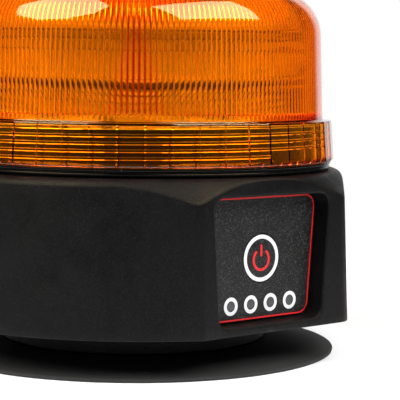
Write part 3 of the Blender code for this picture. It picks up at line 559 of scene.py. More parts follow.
def add_materials():
    clear_plastic(
        "amber_plastic", (1.0, 0.76, 0.25), 0.02, (1.0, 0.89, 0.5), density=2200.0,
        absorbed=(1.0, 0.925, 0.70), specular=0.3,
    )
    clear_plastic("clear_plastic", (0.97, 0.97, 0.95), 0.03, (0.98, 0.98, 0.97))
    surface(
        "textured_black", (0.002, 0.002, 0.0021), 0.44, variation=0.35, grain=0.6, grain_scale=1900.0,
        wear=0.3, wear_colour=(0.06, 0.06, 0.06), dust=0.016, dust_scale=2800.0, dust_from=0.56,
        specular=0.11,
    )
    surface(
        "panel_film", (0.0048, 0.0048, 0.005), 0.42, variation=0.4, grain=1.0, grain_scale=1400.0,
        dust=0.13, dust_scale=2600.0, dust_from=0.58, specular=0.26,
    )
    surface("print_red", (0.6, 0.007, 0.009), 0.45, variation=0.12, grain=0.3, grain_scale=1800.0)
    surface("print_white", (0.66, 0.67, 0.68), 0.4, variation=0.05, grain=0.3, grain_scale=1800.0)
    surface("smoked_window", (0.055, 0.055, 0.058), 0.3, variation=0.2, grain=0.15, specular=0.3)
    surface(
        "gloss_rubber", (0.002, 0.002, 0.002), 0.2, variation=0.3, grain=0.12, grain_scale=700.0,
        dust=0.08, dust_scale=1100.0, specular=0.2,
    )
    surface(
        "foot_rubber", (0.0001, 0.0001, 0.0001), 0.42, variation=0.25, grain=0.2, grain_scale=1300.0,
        dust=0.2, dust_scale=1400.0, dust_from=0.66, wear=0.1, wear_colour=(0.05, 0.05, 0.05), specular=0.03,
    )
    surface("cap_rubber", (0.02, 0.02, 0.021), 0.6, grain=0.3, dust=0.2, wear=0.2)
    surface(
        "zinc_steel", (0.62, 0.61, 0.58), 0.32, metallic=1.0, grain=0.2, wear=0.3, wear_colour=(0.8, 0.8, 0.8)
    )
    surface("nickel", (0.55, 0.53, 0.5), 0.25, metallic=1.0, grain=0.1, variation=0.08)
    # Painted light: the heat sink glows faintly though it is no lamp, to brighten the tower seen through the
    # lens.
    surface("sink_metal", (0.6, 0.59, 0.57), 0.45, metallic=0.2, grain=0.4, grain_scale=900.0, glow=0.12)
    surface("board_green", (0.02, 0.15, 0.05), 0.4, grain=0.3, coat=0.3)
    # Painted light: the white boards glow though the lamp is off, lifting the shade that the tower's cap
    # casts on them.
    surface("board_white", (0.9, 0.9, 0.87), 0.42, variation=0.04, grain=0.2, glow=0.55)
    surface("phosphor", (0.92, 0.72, 0.18), 0.35, variation=0.08, grain=0.1)
    surface("component_black", (0.03, 0.03, 0.032), 0.45, grain=0.4, wear=0.2)
    surface("cell_wrap", (0.04, 0.14, 0.42), 0.3, grain=0.1, coat=0.3)
    surface("tower_black", (0.03, 0.028, 0.027), 0.45, grain=0.3, wear=0.15)
    surface("tower_grey", (0.13, 0.125, 0.12), 0.45, grain=0.3, wear=0.1)
    surface("spigot_black", (0.0012, 0.001, 0.001), 0.5, grain=0.3, variation=0.3, specular=0.1)
    surface("lead_red", (0.6, 0.03, 0.03), 0.45, grain=0.1)
    surface("lead_black", (0.02, 0.02, 0.02), 0.45, grain=0.1)


# The slots whose material has another name than the slot
SLOT_MATERIALS = {
    "amber_lens": "amber_plastic",
    "housing_black": "textured_black",
    "overlay_black": "panel_film",
    "button_white": "print_white",
    "window_grey": "smoked_window",
    "seal_rubber": "gloss_rubber",
    "magnet_nickel": "nickel",
    "led_white": "phosphor",
    "optic_clear": "clear_plastic",
}


def dress_frame():
    """Gives every CAD node its procedural material, by the record's slot."""
    for part in frame["record"]["subparts"]:
        mesh = frame["nodes"][part["node"]].data
        slot = part["material_slot"]
        material = bpy.data.materials[SLOT_MATERIALS.get(slot, slot)]
        mesh.materials.clear()
        mesh.materials.append(material)


# ---- lens


def crown_profile(inset, crown_rows, shoulder_rows):
    """(radius, height) points of the lens skin from near its crown's centre to its shoulder's foot."""
    centre = WALL_RADIUS_HIGH - SHOULDER_RADIUS
    crown_edge = centre + SHOULDER_RADIUS * math.cos(SHOULDER_SWEEP)
    crown_radius = crown_edge / math.cos(SHOULDER_SWEEP)
    crown_centre = SHOULDER_HEIGHT + (SHOULDER_RADIUS - crown_radius) * math.sin(SHOULDER_SWEEP)
    points = []
    for step in range(1, crown_rows):
        turn = mix(math.pi / 2, SHOULDER_SWEEP, step / crown_rows)
        reach = crown_radius - inset
        points.append((reach * math.cos(turn), crown_centre + reach * math.sin(turn)))
    arc = SHOULDER_RADIUS - inset
    for step in range(shoulder_rows + 1):
        turn = mix(SHOULDER_SWEEP, 0, step / shoulder_rows)
        points.append((centre + arc * math.cos(turn), SHOULDER_HEIGHT + arc * math.sin(turn)))
    return points, crown_centre + crown_radius - inset


def flute_weight(radius):
    """How far the flutes stand out at a radius: full on the wall and shoulder, none near the centre."""
    return min(max((radius - FLUTE_CENTRE) / FLUTE_FADE, 0.0), 1.0)


def lens_rows():
    """The lens as rows of (radius, height, form, weight), down the outside and back up the inside."""
    outer, top = crown_profile(0.0, 5, 10)
    rows = [(r, z, "round", 0.0) for r, z in outer]
    foot = WALL_RADIUS_LOW
    collar_slope = COLLAR_DRAFT / (COLLAR_TOP - COLLAR_BOTTOM)
    outside = rounded(
        [
            (WALL_RADIUS_HIGH, SHOULDER_HEIGHT - 4), (foot - 0.06, COLLAR_TOP + 1.5), (foot, COLLAR_TOP, 0.6),
            (COLLAR_RADIUS - COLLAR_DRAFT, COLLAR_TOP, 0.45),
            (COLLAR_RADIUS - COLLAR_DRAFT + collar_slope, COLLAR_TOP - 1.0),
            (COLLAR_RADIUS - collar_slope, COLLAR_BOTTOM + 1.0),
            (COLLAR_RADIUS, COLLAR_BOTTOM, 0.3), (COLLAR_BORE, COLLAR_BOTTOM),
        ],
        segments=2,
    )
    collar_from = foot + 1.3
    for r, z in outside[1:-1]:
        rows.append((r, z, "facet" if r > collar_from else "round", 0.0))
    rows.append((COLLAR_BORE + 0.3, COLLAR_BOTTOM, "round", 0.0))
    rows.append((COLLAR_BORE, COLLAR_BOTTOM + 0.3, "round", 0.0))
    for turn in range(THREAD_TURNS):
        middle = THREAD_START + THREAD_PITCH * turn
        for offset, weight in ((-THREAD_FOOT, 0), (-THREAD_CREST, 1), (THREAD_CREST, 1), (THREAD_FOOT, 0)):
            rows.append((COLLAR_BORE, middle + offset, f"thread {turn}", weight))
    inner_foot = WALL_RADIUS_LOW - LENS_WALL
    inside = rounded(
        [
            (COLLAR_BORE, BORE_TOP - 1), (COLLAR_BORE, BORE_TOP, 0.15),
            (inner_foot, COLLAR_TOP - 0.1, 0.6), (inner_foot, FLUTE_BOTTOM),
        ],
        segments=1,
    )
    rows += [(r, z, "round", 0.0) for r, z in inside[1:-1]]
    rows.append((inner_foot, FLUTE_BOTTOM - 0.4, "flute", 0.0))
    rows.append((inner_foot, FLUTE_BOTTOM, "flute", 0.7))
    rows.append((inner_foot, FLUTE_BOTTOM + 0.5, "flute", 1.0))
    inner, inner_top = crown_profile(LENS_WALL, 5, 10)
    rows += [(r, z, "flute", flute_weight(r)) for r, z in reversed(inner)]
    return rows, top, inner_top


def thread_share(azimuth, turn):
    """How fully a thread turn stands out round the bore: the seam and the ends are relieved."""
    seam = np.clip((math.pi - np.abs(azimuth) - SEAM_RELIEF) / THREAD_RUN_OUT, 0.0, 1.0)
    if turn == 0:
        seam *= np.clip((LOWEST_TURN_END - azimuth) / THREAD_RUN_OUT, 0.0, 1.0)
    if turn == THREAD_TURNS - 1:
        seam *= np.clip((TOP_TURN_END - azimuth) / THREAD_RUN_OUT, 0.0, 1.0)
    return np.sqrt(seam)


def lens_rings(rows):
    """The lens rows turned round the axis, with their facets, grooves, thread and flutes."""
    columns = np.arange(LENS_COLUMNS)
    azimuth = (columns * math.tau / LENS_COLUMNS + math.pi) % math.tau - math.pi
    facet_place = (columns % COLUMNS_PER_FACET) / COLUMNS_PER_FACET - 0.5
    facet = math.cos(math.pi / FACETS) / np.cos(facet_place * math.tau / FACETS)
    groove = (columns % COLUMNS_PER_FACET == 0) * GROOVE_DEPTH
    flute = np.abs(np.cos(math.pi * (columns / COLUMNS_PER_FLUTE)))
    climb = THREAD_PITCH * (azimuth + math.pi) / math.tau
    climb -= THREAD_PITCH * np.clip((azimuth - math.pi + SEAM_RELIEF) / SEAM_RELIEF, 0.0, 1.0)
    rings = []
    for r, z, form, weight in rows:
        radius = np.full(LENS_COLUMNS, float(r))
        height = np.full(LENS_COLUMNS, float(z))
        if form == "facet":
            radius = radius * facet - groove
        elif form.startswith("thread"):
            radius -= THREAD_DEPTH * weight * thread_share(azimuth, int(form.split()[1]))
            height = np.minimum(height + climb, THREAD_LIMIT + (z - BORE_TOP) * THREAD_SQUEEZE)
        elif form == "flute":
            inward = inward_share(z)
            radius -= FLUTE_DEPTH * weight * flute * inward
            height -= FLUTE_DEPTH * weight * flute * math.sqrt(1 - inward**2)
        rings.append(np.stack([radius * np.sin(azimuth), -radius * np.cos(azimuth), height], axis=-1))
    return rings


def add_lens():
    rows, top, inner_top = lens_rows()
    shape = fanned(lens_rings(rows), top, inner_top)
    lens = add_piece("lens_shell", shape, "amber_plastic", "lens", ("lens",), smooth=33.0)
    smooth_rows(lens.data, [i for i, row in enumerate(rows) if row[2] in ("flute", "round")])


def smooth_rows(mesh, rows):
    """Clears the sharp marks on the lens edges within the given rows, but for the flutes' valleys."""
    edges = np.empty(len(mesh.edges) * 2, np.int32)
    mesh.edges.foreach_get("vertices", edges)
    edges = edges.reshape(-1, 2)
    within = np.isin(edges // LENS_COLUMNS, rows).all(axis=1)
    within &= ~(edges % COLUMNS_PER_FLUTE == COLUMNS_PER_FLUTE // 2).all(axis=1)
    sharp = mesh.attributes["sharp_edge"].data
    marks = np.empty(len(mesh.edges), bool)
    sharp.foreach_get("value", marks)
    sharp.foreach_set("value", marks & ~within)


def inward_share(height):
    """How much of the flutes' relief points at the axis, rather than down, at a height inside."""
    rise = (height - SHOULDER_HEIGHT) / (SHOULDER_RADIUS - LENS_WALL)
    return math.sqrt(max(1.0 - min(max(rise, 0.0), 1.0) ** 2, 0.0))


def add_lens_seal():
    """A soft ring with a narrow waist between its two lips."""
    outer, inner = SEAL_HIGH.x, COLLAR_RADIUS - 3.6
    low, high = SEAL_LOW.z, SEAL_HIGH.z
    corners = [
        (inner, high), (outer, high, 0.35), (outer, high - 0.95, 0.4), (outer - 0.8, high - 1.15, 0.2),
        (outer - 0.75, high - 1.45, 0.2), (outer - 0.2, high - 1.7, 0.4), (outer - 0.5, low, 0.5),
        (inner, low),
    ]
    add_turned("lens_gasket", corners, 360, "gloss_rubber", "seal_ring", ("lens_seal",))


def add_mount_ring():
    """The smooth ring that the lens screws onto, with a flange inwards at its foot."""
    outer, high = COLLAR_RADIUS - 4.0, MOUNT_HIGH.z
    inner, flange_top = outer - 2.6, MOUNT_LOW.z + 2.0
    corners = [
        (inner, high, 0.3), (outer, high, 0.6), (outer, MOUNT_LOW.z), (inner - 5.4, MOUNT_LOW.z),
        (inner - 5.4, flange_top, 0.4), (inner, flange_top, 0.5),
    ]
    add_turned("lens_mount", corners, 300, "spigot_black", "base", ("lens_mount_ring",))


# ---- housing


def housing_outline(height, inset=0.0, front=PANEL_DISTANCE):
    """The housing's outline at one height, from the panel's centre round by +X, cut off at front."""
    right = housing_side(height, inset, PANEL_RIGHT_BOTTOM, RIGHT_FILLET_BOTTOM)
    left = housing_side(height, inset, PANEL_LEFT_BOTTOM, LEFT_FILLET_BOTTOM)
    outline = np.array([*right, *((-x, y) for x, y in reversed(left[1:-1]))])
    outline[:, 1] = np.maximum(outline[:, 1], -front)
    return outline


def housing_side(height, inset, corner_bottom, fillet_bottom):
    """One side of the housing's outline, as (x, y) points from the panel's centre to the back."""
    share = (height - HOUSING_BOTTOM) / (DECK_TOP - HOUSING_BOTTOM)
    radius = mix(WALL_RADIUS_BOTTOM, WALL_RADIUS_TOP, share)
    half_width = mix(corner_bottom, PANEL_HALF_WIDTH_TOP, share)
    reach = math.hypot(half_width, PANEL_DISTANCE)
    flank = math.atan2(half_width, PANEL_DISTANCE) + math.acos(radius / reach)
    fillet = max(mix(fillet_bottom, CORNER_FILLET_TOP, share) - inset, 0.4)
    radius -= inset
    distance = PANEL_DISTANCE - inset
    corner_x = (radius - distance * math.cos(flank)) / math.sin(flank)
    fillet_x = corner_x - fillet * math.tan(flank / 2)
    fillet_y = -(distance - fillet)
    front_steps, fillet_steps, flank_steps, wall_steps = 18, 10, 10, 84
    side = [(fillet_x * i / front_steps, -distance) for i in range(front_steps)]
    for step in range(fillet_steps + 1):
        turn = flank * step / fillet_steps
        side.append((fillet_x + fillet * math.sin(turn), fillet_y - fillet * math.cos(turn)))
    start = Vector(side[-1])
    end = Vector((radius * math.sin(flank), -radius * math.cos(flank)))
    side += [tuple(start.lerp(end, step / flank_steps)) for step in range(1, flank_steps)]
    for step in range(wall_steps + 1):
        turn = mix(flank, math.pi, step / wall_steps)
        side.append((radius * math.sin(turn), -radius * math.cos(turn)))
    return side


def shoulder_height(radius):
    """Height of the sloping shoulder over a radius, through its knots by a smooth cubic."""
    knots = np.array(SHOULDER_KNOTS)
    slope = np.gradient(knots[:, 1], knots[:, 0])
    slope[:2] = 0.0
    index = np.clip(np.searchsorted(knots[:, 0], radius) - 1, 0, len(knots) - 2)
    width = knots[index + 1, 0] - knots[index, 0]
    t = (radius - knots[index, 0]) / width
    start, end = knots[index, 1], knots[index + 1, 1]
    bend = (2 * t**3 - 3 * t**2 + 1) * start + (t**3 - 2 * t**2 + t) * width * slope[index]
    bend += (3 * t**2 - 2 * t**3) * end + (t**3 - t**2) * width * slope[index + 1]
    return DECK_TOP + bend


def wall_top():
    """Where each column of the wall meets the shoulder, as its height, found by bisection."""
    columns = len(housing_outline(HOUSING_BOTTOM))
    low = np.full(columns, HOUSING_BOTTOM + 20)
    high = np.full(columns, DECK_TOP + 1.0)
    bisections = 30
    for _ in range(bisections):
        middle = (low + high) / 2
        points = wall_points(middle)
        below = shoulder_height(np.hypot(points[:, 0], points[:, 1])) > middle
        low = np.where(below, middle, low)
        high = np.where(below, high, middle)
    return low


OUTLINE_CACHE = {}


def wall_points(heights):
    """The wall's point in each column at that column's own height."""
    if not OUTLINE_CACHE:
        for level in (HOUSING_BOTTOM, mix(HOUSING_BOTTOM, DECK_TOP, 0.5), DECK_TOP):
            OUTLINE_CACHE[level] = housing_outline(level)
    levels = sorted(OUTLINE_CACHE)
    low, middle, high = (OUTLINE_CACHE[level] for level in levels)
    t = ((heights - levels[0]) / (levels[2] - levels[0]))[:, None]
    plan = low * (2 * t - 1) * (t - 1) + middle * 4 * t * (1 - t) + high * t * (2 * t - 1)
    return np.column_stack([plan, heights])


def housing_rings():
    """Rings from the deck's edge out over the shoulder and down the wall to the rim."""
    top = wall_top()
    edge = wall_points(top)
    reach = np.hypot(edge[:, 0], edge[:, 1])
    spokes = edge[:, :2] / reach[:, None]

    def over_shoulder(radius):
        return np.column_stack([spokes * radius[:, None], shoulder_height(radius)])

    rings = []
    for radius in (66.0, 67.5):
        rings.append(over_shoulder(np.full(len(top), radius)))
    slope_rows = 12
    edge_in = reach - SHOULDER_EDGE
    for step in range(slope_rows + 1):
        rings.append(over_shoulder(mix(SHOULDER_START, edge_in, step / slope_rows)))
    last, below = rings[-1], wall_points(top - SHOULDER_EDGE)
    for t in (0.2, 0.4, 0.6, 0.8):
        rings.append(last * (1 - t) ** 2 + edge * 2 * t * (1 - t) + below * t**2)
    wall_rows = 16
    foot = HOUSING_BOTTOM + 0.5
    for step in range(wall_rows + 1):
        rings.append(wall_points(mix(top - SHOULDER_EDGE, foot, step / wall_rows)))
    for lift, inset in ((0.25, 0.07), (0.07, 0.25), (0.0, 0.5)):
        rings.append(flat_ring(housing_outline(HOUSING_BOTTOM + lift, inset), HOUSING_BOTTOM + lift))
    return rings


def inner_rings():
    """Rings up the inside of the housing, from its rim to the underside of its deck."""
    rim, ceiling = 2.2, DECK_BOTTOM
    rings = []
    for height, inset, front in (
        (HOUSING_BOTTOM, rim - 0.2, RIM_FRONT + 0.2), (HOUSING_BOTTOM + 0.2, rim, RIM_FRONT),
        (19.6, rim, RIM_FRONT), (19.6, HOUSING_WALL, PANEL_DISTANCE), (46.0, HOUSING_WALL, PANEL_DISTANCE),
        (ceiling - 9.0, HOUSING_WALL + 1.2, PANEL_DISTANCE), (ceiling, HOUSING_WALL + 7.0, PANEL_DISTANCE),
    ):
        rings.append(flat_ring(housing_outline(height, inset, front), height))
    return rings


def keystone(low, high, bottom, top, corner, segments=8):
    """A rounded outline of half width low at its bottom and half width high at its top."""
    corners = [(low, bottom), (high, top), (-high, top), (-low, bottom)]
    return rounded([(*point, corner) for point in corners], segments, closed=True)


def recess_outline(grow=0.0):
    """The recess's opening in the panel's frame, grown outwards all round."""
    slope = (RECESS_HALF_WIDTH_TOP - RECESS_HALF_WIDTH_BOTTOM) / (RECESS_TOP - RECESS_BOTTOM)
    low = RECESS_HALF_WIDTH_BOTTOM + grow * (1 - slope)
    high = RECESS_HALF_WIDTH_TOP + grow * (1 + slope)
    return keystone(low, high, RECESS_BOTTOM - grow, RECESS_TOP + grow, RECESS_CORNER + grow)


def recess_cutter():
    """The recess with a rounded lip, as a cutter in the panel's frame."""
    rings = [flat_ring(recess_outline(RECESS_LIP), 4.0), flat_ring(recess_outline(RECESS_LIP), 0.0)]
    lip_steps = 4
    for step in range(1, lip_steps + 1):
        turn = math.pi / 2 * step / lip_steps
        lip = recess_outline(RECESS_LIP * (1 - math.sin(turn)))
        rings.append(flat_ring(lip, -RECESS_LIP * (1 - math.cos(turn))))
    rings.append(flat_ring(recess_outline(), -RECESS_FLOOR + 0.4))
    rings.append(flat_ring(recess_outline(-0.12), -RECESS_FLOOR + 0.12))
    rings.append(flat_ring(recess_outline(-0.4), -RECESS_FLOOR))
    return lofted(rings)


def panel_helper(name, shape):
    return helper(name, on_panel(shape))


def window_places():
    """The centres of the four status windows, in the panel's frame."""
    return [((i - 1.5) * WINDOW_PITCH, WINDOW_HEIGHT) for i in range(4)]


def add_housing():
    """The housing, with the pocket behind its recess added and all its openings cut."""
    shell = helper("housing_blank", fanned([*housing_rings(), *inner_rings()], DECK_TOP, DECK_BOTTOM))
    pocket = panel_helper("pocket", plate(recess_outline(RECESS_WALL), -RECESS_FLOOR - RECESS_WALL, -2.0))
    bool_apply(shell, "UNION", pocket)
    cutters = [panel_helper("recess", recess_cutter())]
    hole = plate(circle(BUTTON_RADIUS + BUTTON_GAP, 64, (0, BUTTON_HEIGHT)), *PANEL_CUT)
    cutters.append(panel_helper("button_hole", hole))
    for place in window_places():
        hole = plate(circle(WINDOW_RADIUS + WINDOW_GAP, 24, place), *PANEL_CUT)
        cutters.append(panel_helper("window_hole", hole))
    cutters += port_cutters()
    bool_apply(shell, "DIFFERENCE", *cutters)
    keep_helper(
        shell, "housing_shell", "textured_black", "base", ("base_housing",), smooth=30.0
    )


def port_cutters():
    """The charge port's pocket with a rounded lip, and the hole for its jack."""
    def outline(grow):
        half = PORT_HALF_WIDTH + grow
        return keystone(half, half, PORT_BOTTOM - grow, PORT_TOP + grow, 1.2 + grow, segments=4)

    levels = ((1.2, 8), (0.8, 3.1), (0.2, 2.4), (0.0, 2.0), (0.0, 0))
    pocket = lofted([flat_ring(outline(grow), PORT_FLOOR + depth) for grow, depth in levels])
    hole = plate(circle(JACK_RADIUS + 0.3, 40, (0, JACK_HEIGHT)), PORT_FLOOR - 8, PORT_FLOOR + 1)
    return [helper("pocket", on_back(pocket)), helper("hole", on_back(hole))]


def add_port():
    """The charge jack at the back, and the rubber flap that closes over it."""
    jack = turned(
        rounded([
            (0, -1.5), (0.7, -1.5, 0.4), (1.0, -3.0), (1.0, -8.5), (JACK_BORE, -8.5), (JACK_BORE, 0, 0.3),
            (JACK_RADIUS, 0, 0.3), (JACK_RADIUS, -11), (0, -11),
        ]),
        48,
    )
    shape = on_back(moved(jack, (0, JACK_HEIGHT, PORT_FLOOR - 0.2)))
    add_piece("power_jack", shape, "component_black", "base", ("charge_jack",))
    half, top, low = CAP_HIGH.x, CAP_HIGH.z, CAP_LOW.z + 0.15
    middle = PORT_FLOOR + 1.5
    corners = [(half, low, 0.6), (half, top, 1.4), (-half, top, 1.4), (-half, low, 0.6)]
    cap = helper("cap", on_back(plate(rounded(corners, 5, closed=True), middle - 1.2, middle + 1.2, 0.45)))
    lip = [(3.2, top - 2.6, 0.5), (3.2, top - 0.5, 0.8), (-3.2, top - 0.5, 0.8), (-3.2, top - 2.6, 0.5)]
    extras = [plate(rounded(lip, 4, closed=True), middle, middle + 2.35, 0.5)]
    for row in range(3):
        z = JACK_HEIGHT - 2.6 + 1.6 * row
        rib = stroke_outline([(-5.0, z), (0.0, z), (5.0, z)], 0.7, 6)
        extras.append(plate(rib, middle, middle + 1.55, 0.2, 2))
    boss = turned(rounded([(0, 0), (2.4, 0), (2.4, -2.7, 0.4), (0, -2.7)]), 40)
    extras.append(moved(boss, (0, JACK_HEIGHT, middle)))
    bool_apply(cap, "UNION", *(helper("extra", on_back(extra)) for extra in extras))
    keep_helper(cap, "port_flap", "cap_rubber", "port_cap", ("charge_port_cap",), smooth=40.0)


def add_cover_screws():
    """Pan-head screws with a hexagon socket, seen from below the bottom plate."""
    for i in range(1, 5):
        low, high = (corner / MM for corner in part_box(f"cover_screw_{i}"))
        x, y = (low.x + high.x) / 2, (low.y + high.y) / 2
        head = low.z
        seat = head + 1.8
        profile = rounded([
            (0, high.z), (1.1, high.z), (1.6, high.z - 1.5), (1.6, seat), (3.3, seat, 0.2),
            (3.3, head + 0.5, 0.4), (2.6, head, 0.4), (0, head),
        ])
        blank = helper("screw", moved(turned(profile, 40), (x, y, 0)))
        socket = helper("socket", moved(plate(circle(1.25, 6), head - 1, head + 1.0), (x, y, 0)))
        bool_apply(blank, "DIFFERENCE", socket)
        keep_helper(blank, f"housing_screw_{i}", "zinc_steel", "base", (f"cover_screw_{i}",))


def add_bottom_cover():
    """The plate that closes the housing, with the short neck that stands in the foot."""
    bottom, floor, rim = 13.9, 12.7, 17.1
    top = rim + 0.3
    bolt_hole = 2.7
    outline = housing_outline(HOUSING_BOTTOM + 4, 2.6, RIM_FRONT - 0.4)
    chamfered = offset_outline(outline, 0.3)
    turn = np.arctan2(outline[:, 0], -outline[:, 1])

    def circle_ring(radius, height):
        return np.column_stack([radius * np.sin(turn), -radius * np.cos(turn), np.full(len(turn), height)])

    neck = rounded(
        [
            (60, bottom), (NECK_OUTER, bottom, 0.8), (NECK_OUTER, COVER_LOW.z, 0.5),
            (NECK_INNER, COVER_LOW.z, 0.3), (NECK_INNER, floor, 0.5), (3, floor),
        ],
        segments=4,
    )
    rings = [circle_ring(bolt_hole, top), circle_ring(40, top), flat_ring(chamfered, top)]
    rings += [flat_ring(outline, rim), flat_ring(outline, bottom + 0.3), flat_ring(chamfered, bottom)]
    rings += [circle_ring(r, z) for r, z in [*neck, (bolt_hole, floor)]]
    shape = lofted(rings, closed=True)
    add_piece("bottom_plate", shape, "textured_black", "base", ("bottom_cover",))


def add_rubber_foot():
    """The wide soft foot: a raised seat for the neck, a sloping skirt and a shallow hollow beneath it."""
    radius = FOOT_HIGH.x
    corners = [
        (0, 3.1), (41.2, 3.1, 0.3), (41.6, 4.1, 0.3), (46.1, 4.1, 0.5), (54.0, 3.05, 4.0), (62.0, 1.75, 6.0),
        (radius - 0.5, 1.05, 0.35), (radius, 0.75, 0.3), (radius, 0.0, 0.25), (64.0, 0.0, 0.5),
        (60.0, 0.7, 1.0), (45.0, 1.5, 1.0), (42.0, 0.0, 0.4), (0, 0),
    ]
    add_turned(
        "foot_pad", corners, 300, "foot_rubber", "base", ("rubber_foot",),
        closed=False, smooth=40.0,
    )


# ---- panel


def add_overlay():
    """The printed film on the recess's floor, its red outline, and the status windows."""
    widths = (OVERLAY_HALF_WIDTH_BOTTOM, OVERLAY_HALF_WIDTH_TOP)
    outline = keystone(*widths, OVERLAY_BOTTOM, OVERLAY_TOP, RECESS_CORNER)
    blank = panel_helper("overlay_blank", plate(outline, FILM_FRONT - 0.5, FILM_FRONT, 0.12))
    holes = [circle(BUTTON_RADIUS + BUTTON_GAP, 96, (0, BUTTON_HEIGHT))]
    holes += [circle(WINDOW_RADIUS + 0.08, 48, place) for place in window_places()]
    cutters = [panel_helper("cut", plate(hole, FILM_FRONT - 2, FILM_FRONT + 2)) for hole in holes]
    bool_apply(blank, "DIFFERENCE", *cutters)
    keep_helper(blank, "panel_film", "panel_film", "base", ("panel_overlay",), smooth=25.0)
    edge = 0.12
    inner = offset_outline(outline, OUTLINE_WIDTH + edge)
    add_print("outline_print", offset_outline(outline, edge), inner, "print_red", "base", "overlay_black")
    for i, place in enumerate(window_places(), 1):
        add_window(i, place)


def add_print(name, outer, inner, material, body, slot):
    """A printed line between two outlines on the film or the button."""
    add_piece(name, on_panel(band(outer, inner, PRINT_LOW, PRINT_HIGH)), material, body)


def add_window(i, place):
    """One status window: its printed ring, and the light guide that fills it."""
    ring = (circle(radius, 64, place) for radius in (WINDOW_RING_RADIUS, WINDOW_RADIUS + 0.1))
    add_print(f"window_ring_{i}", *ring, "print_white", "base", "button_white")
    face, flange = WINDOW_RADIUS - 0.05, WINDOW_RADIUS + 0.9
    profile = [(0, 0.05), (face, -0.02, 0.2), (face, -3.0), (flange, -3.0), (flange, -4.2), (0, -4.2)]
    guide = on_panel(moved(turned(rounded(profile), 48), (*place, FILM_FRONT)))
    add_piece(f"indicator_{i}", guide, "smoked_window", "base", (f"indicator_window_{i}",))


def add_button():
    """The button's cap, with a white ring and the power symbol printed on it."""
    flange = BUTTON_RADIUS + 1.3
    profile = [
        (0, 0.0), (BUTTON_RADIUS, 0.0, 0.15), (BUTTON_RADIUS, -3.3),
        (flange, -3.3), (flange, -4.5), (0, -4.5),
    ]
    cap = on_panel(moved(turned(rounded(profile), 128), (0, BUTTON_HEIGHT, FILM_FRONT)))
    add_piece("button_cap", cap, "panel_film", "button", ("power_button",))
    radii = (BUTTON_RADIUS - 0.1, BUTTON_RING_INNER)
    ring = (circle(radius, 128, (0, BUTTON_HEIGHT)) for radius in radii)
    add_print("button_ring", *ring, "print_white", "button", "button_white")
    arc = []
    steps = 40
    for step in range(steps + 1):
        turn = mix(math.pi / 2 + SYMBOL_GAP, math.pi * 5 / 2 - SYMBOL_GAP, step / steps)
        height = BUTTON_HEIGHT - SYMBOL_DROP + SYMBOL_RADIUS * math.sin(turn)
        arc.append((SYMBOL_RADIUS * math.cos(turn), height))
    bar = [(0, BUTTON_HEIGHT + BAR_START + BAR_LENGTH * i / 4) for i in range(5)]
    for name, path in (("symbol_arc", arc), ("symbol_bar", bar)):
        stroke = plate(stroke_outline(path, SYMBOL_STROKE), PRINT_LOW, PRINT_HIGH)
        add_piece(name, on_panel(stroke), "print_red", "button")


# ---- lamp tower


def add_optic(name, cad_node, grooves, material="clear_plastic", gap=0.0):
    """A ring of the lamp tower with V grooves outside, and a gap left above and below it."""
    low, high = (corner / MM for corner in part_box(cad_node))
    low.z += gap
    high.z -= gap
    outer, inner = high.x, high.x - 5.0
    corners = [(inner, high.z, 0.3), (outer, high.z, 0.4)]
    for z in sorted(grooves, reverse=True):
        corners += [(outer, z + 0.45), (outer - 0.4, z), (outer, z - 0.45)]
    corners += [(outer, low.z, 0.4), (inner, low.z, 0.3)]
    add_turned(name, corners, 240, material, "base", (cad_node,), segments=3)


def add_tower():
    """What shows of the lamp tower through the lens: its optics, cap, plinth and lamps."""
    add_optic("lower_optic", "optic_lower", (87.6, 85.4, 83.2, 79.6, 77.4))
    add_optic("optic_ring", "optic_spacer", (), "tower_black", 0.5)
    add_optic("upper_optic", "optic_upper", (104.5, 101.0))
    low, high = (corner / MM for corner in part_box("tower_cap"))
    corners = [
        (1.9, high.z, 0.2), (6, high.z, 0.5), (high.x - 4, high.z - 0.6, 1.0), (high.x, high.z - 1.4, 0.6),
        (high.x, low.z, 0.4), (1.9, low.z),
    ]
    add_turned("tower_lid", corners, 240, "tower_grey", "base", ("tower_cap",))
    low, high = (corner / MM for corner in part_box("tower_base"))
    corners = [(4.3, high.z, 0.3), (high.x, high.z, 0.6), (high.x, low.z, 0.3), (4.3, low.z)]
    add_turned("tower_plinth", corners, 240, "tower_black", "base", ("tower_base",))
    for i in range(LAMP_FACES):
        for row, height in enumerate(LAMP_HEIGHTS, 1):
            add_lamp_dome(f"lamp_dome_{i + 1}_{row}", math.tau * i / LAMP_FACES + math.pi / 2, height)


def add_lamp_dome(name, azimuth, height):
    """The yellow dome of one lamp, on a face of the hexagonal heat sink."""
    profile = rounded([(0, 1.3), (1.9, 1.1, 0.8), (2.6, 0.3, 0.6), (2.6, 0.05), (0, 0.05)])
    points, faces = turned(profile, 32)
    turn = Matrix.Rotation(azimuth, 3, "Z")
    reach = LAMP_SINK_RADIUS * math.cos(math.pi / LAMP_FACES) + LAMP_STANDOFF
    places = [turn @ Vector((x, reach + lift, height + y)) for x, y, lift in points]
    add_piece(name, (places, [face[::-1] for face in faces]), "phosphor", "base")


# ---- studio


def camera_axes():
    """Forward, right and up of the camera, before it is turned to its place round the beacon."""
    level = math.cos(CAMERA_PITCH)
    forward = Vector((math.sin(CAMERA_YAW) * level, math.cos(CAMERA_YAW) * level, -math.sin(CAMERA_PITCH)))
    level_right = Vector((math.cos(CAMERA_YAW), -math.sin(CAMERA_YAW), 0))
    level_up = level_right.cross(forward)
    right = level_right * math.cos(CAMERA_ROLL) + level_up * math.sin(CAMERA_ROLL)
    up = level_up * math.cos(CAMERA_ROLL) - level_right * math.sin(CAMERA_ROLL)
    return forward, right, up


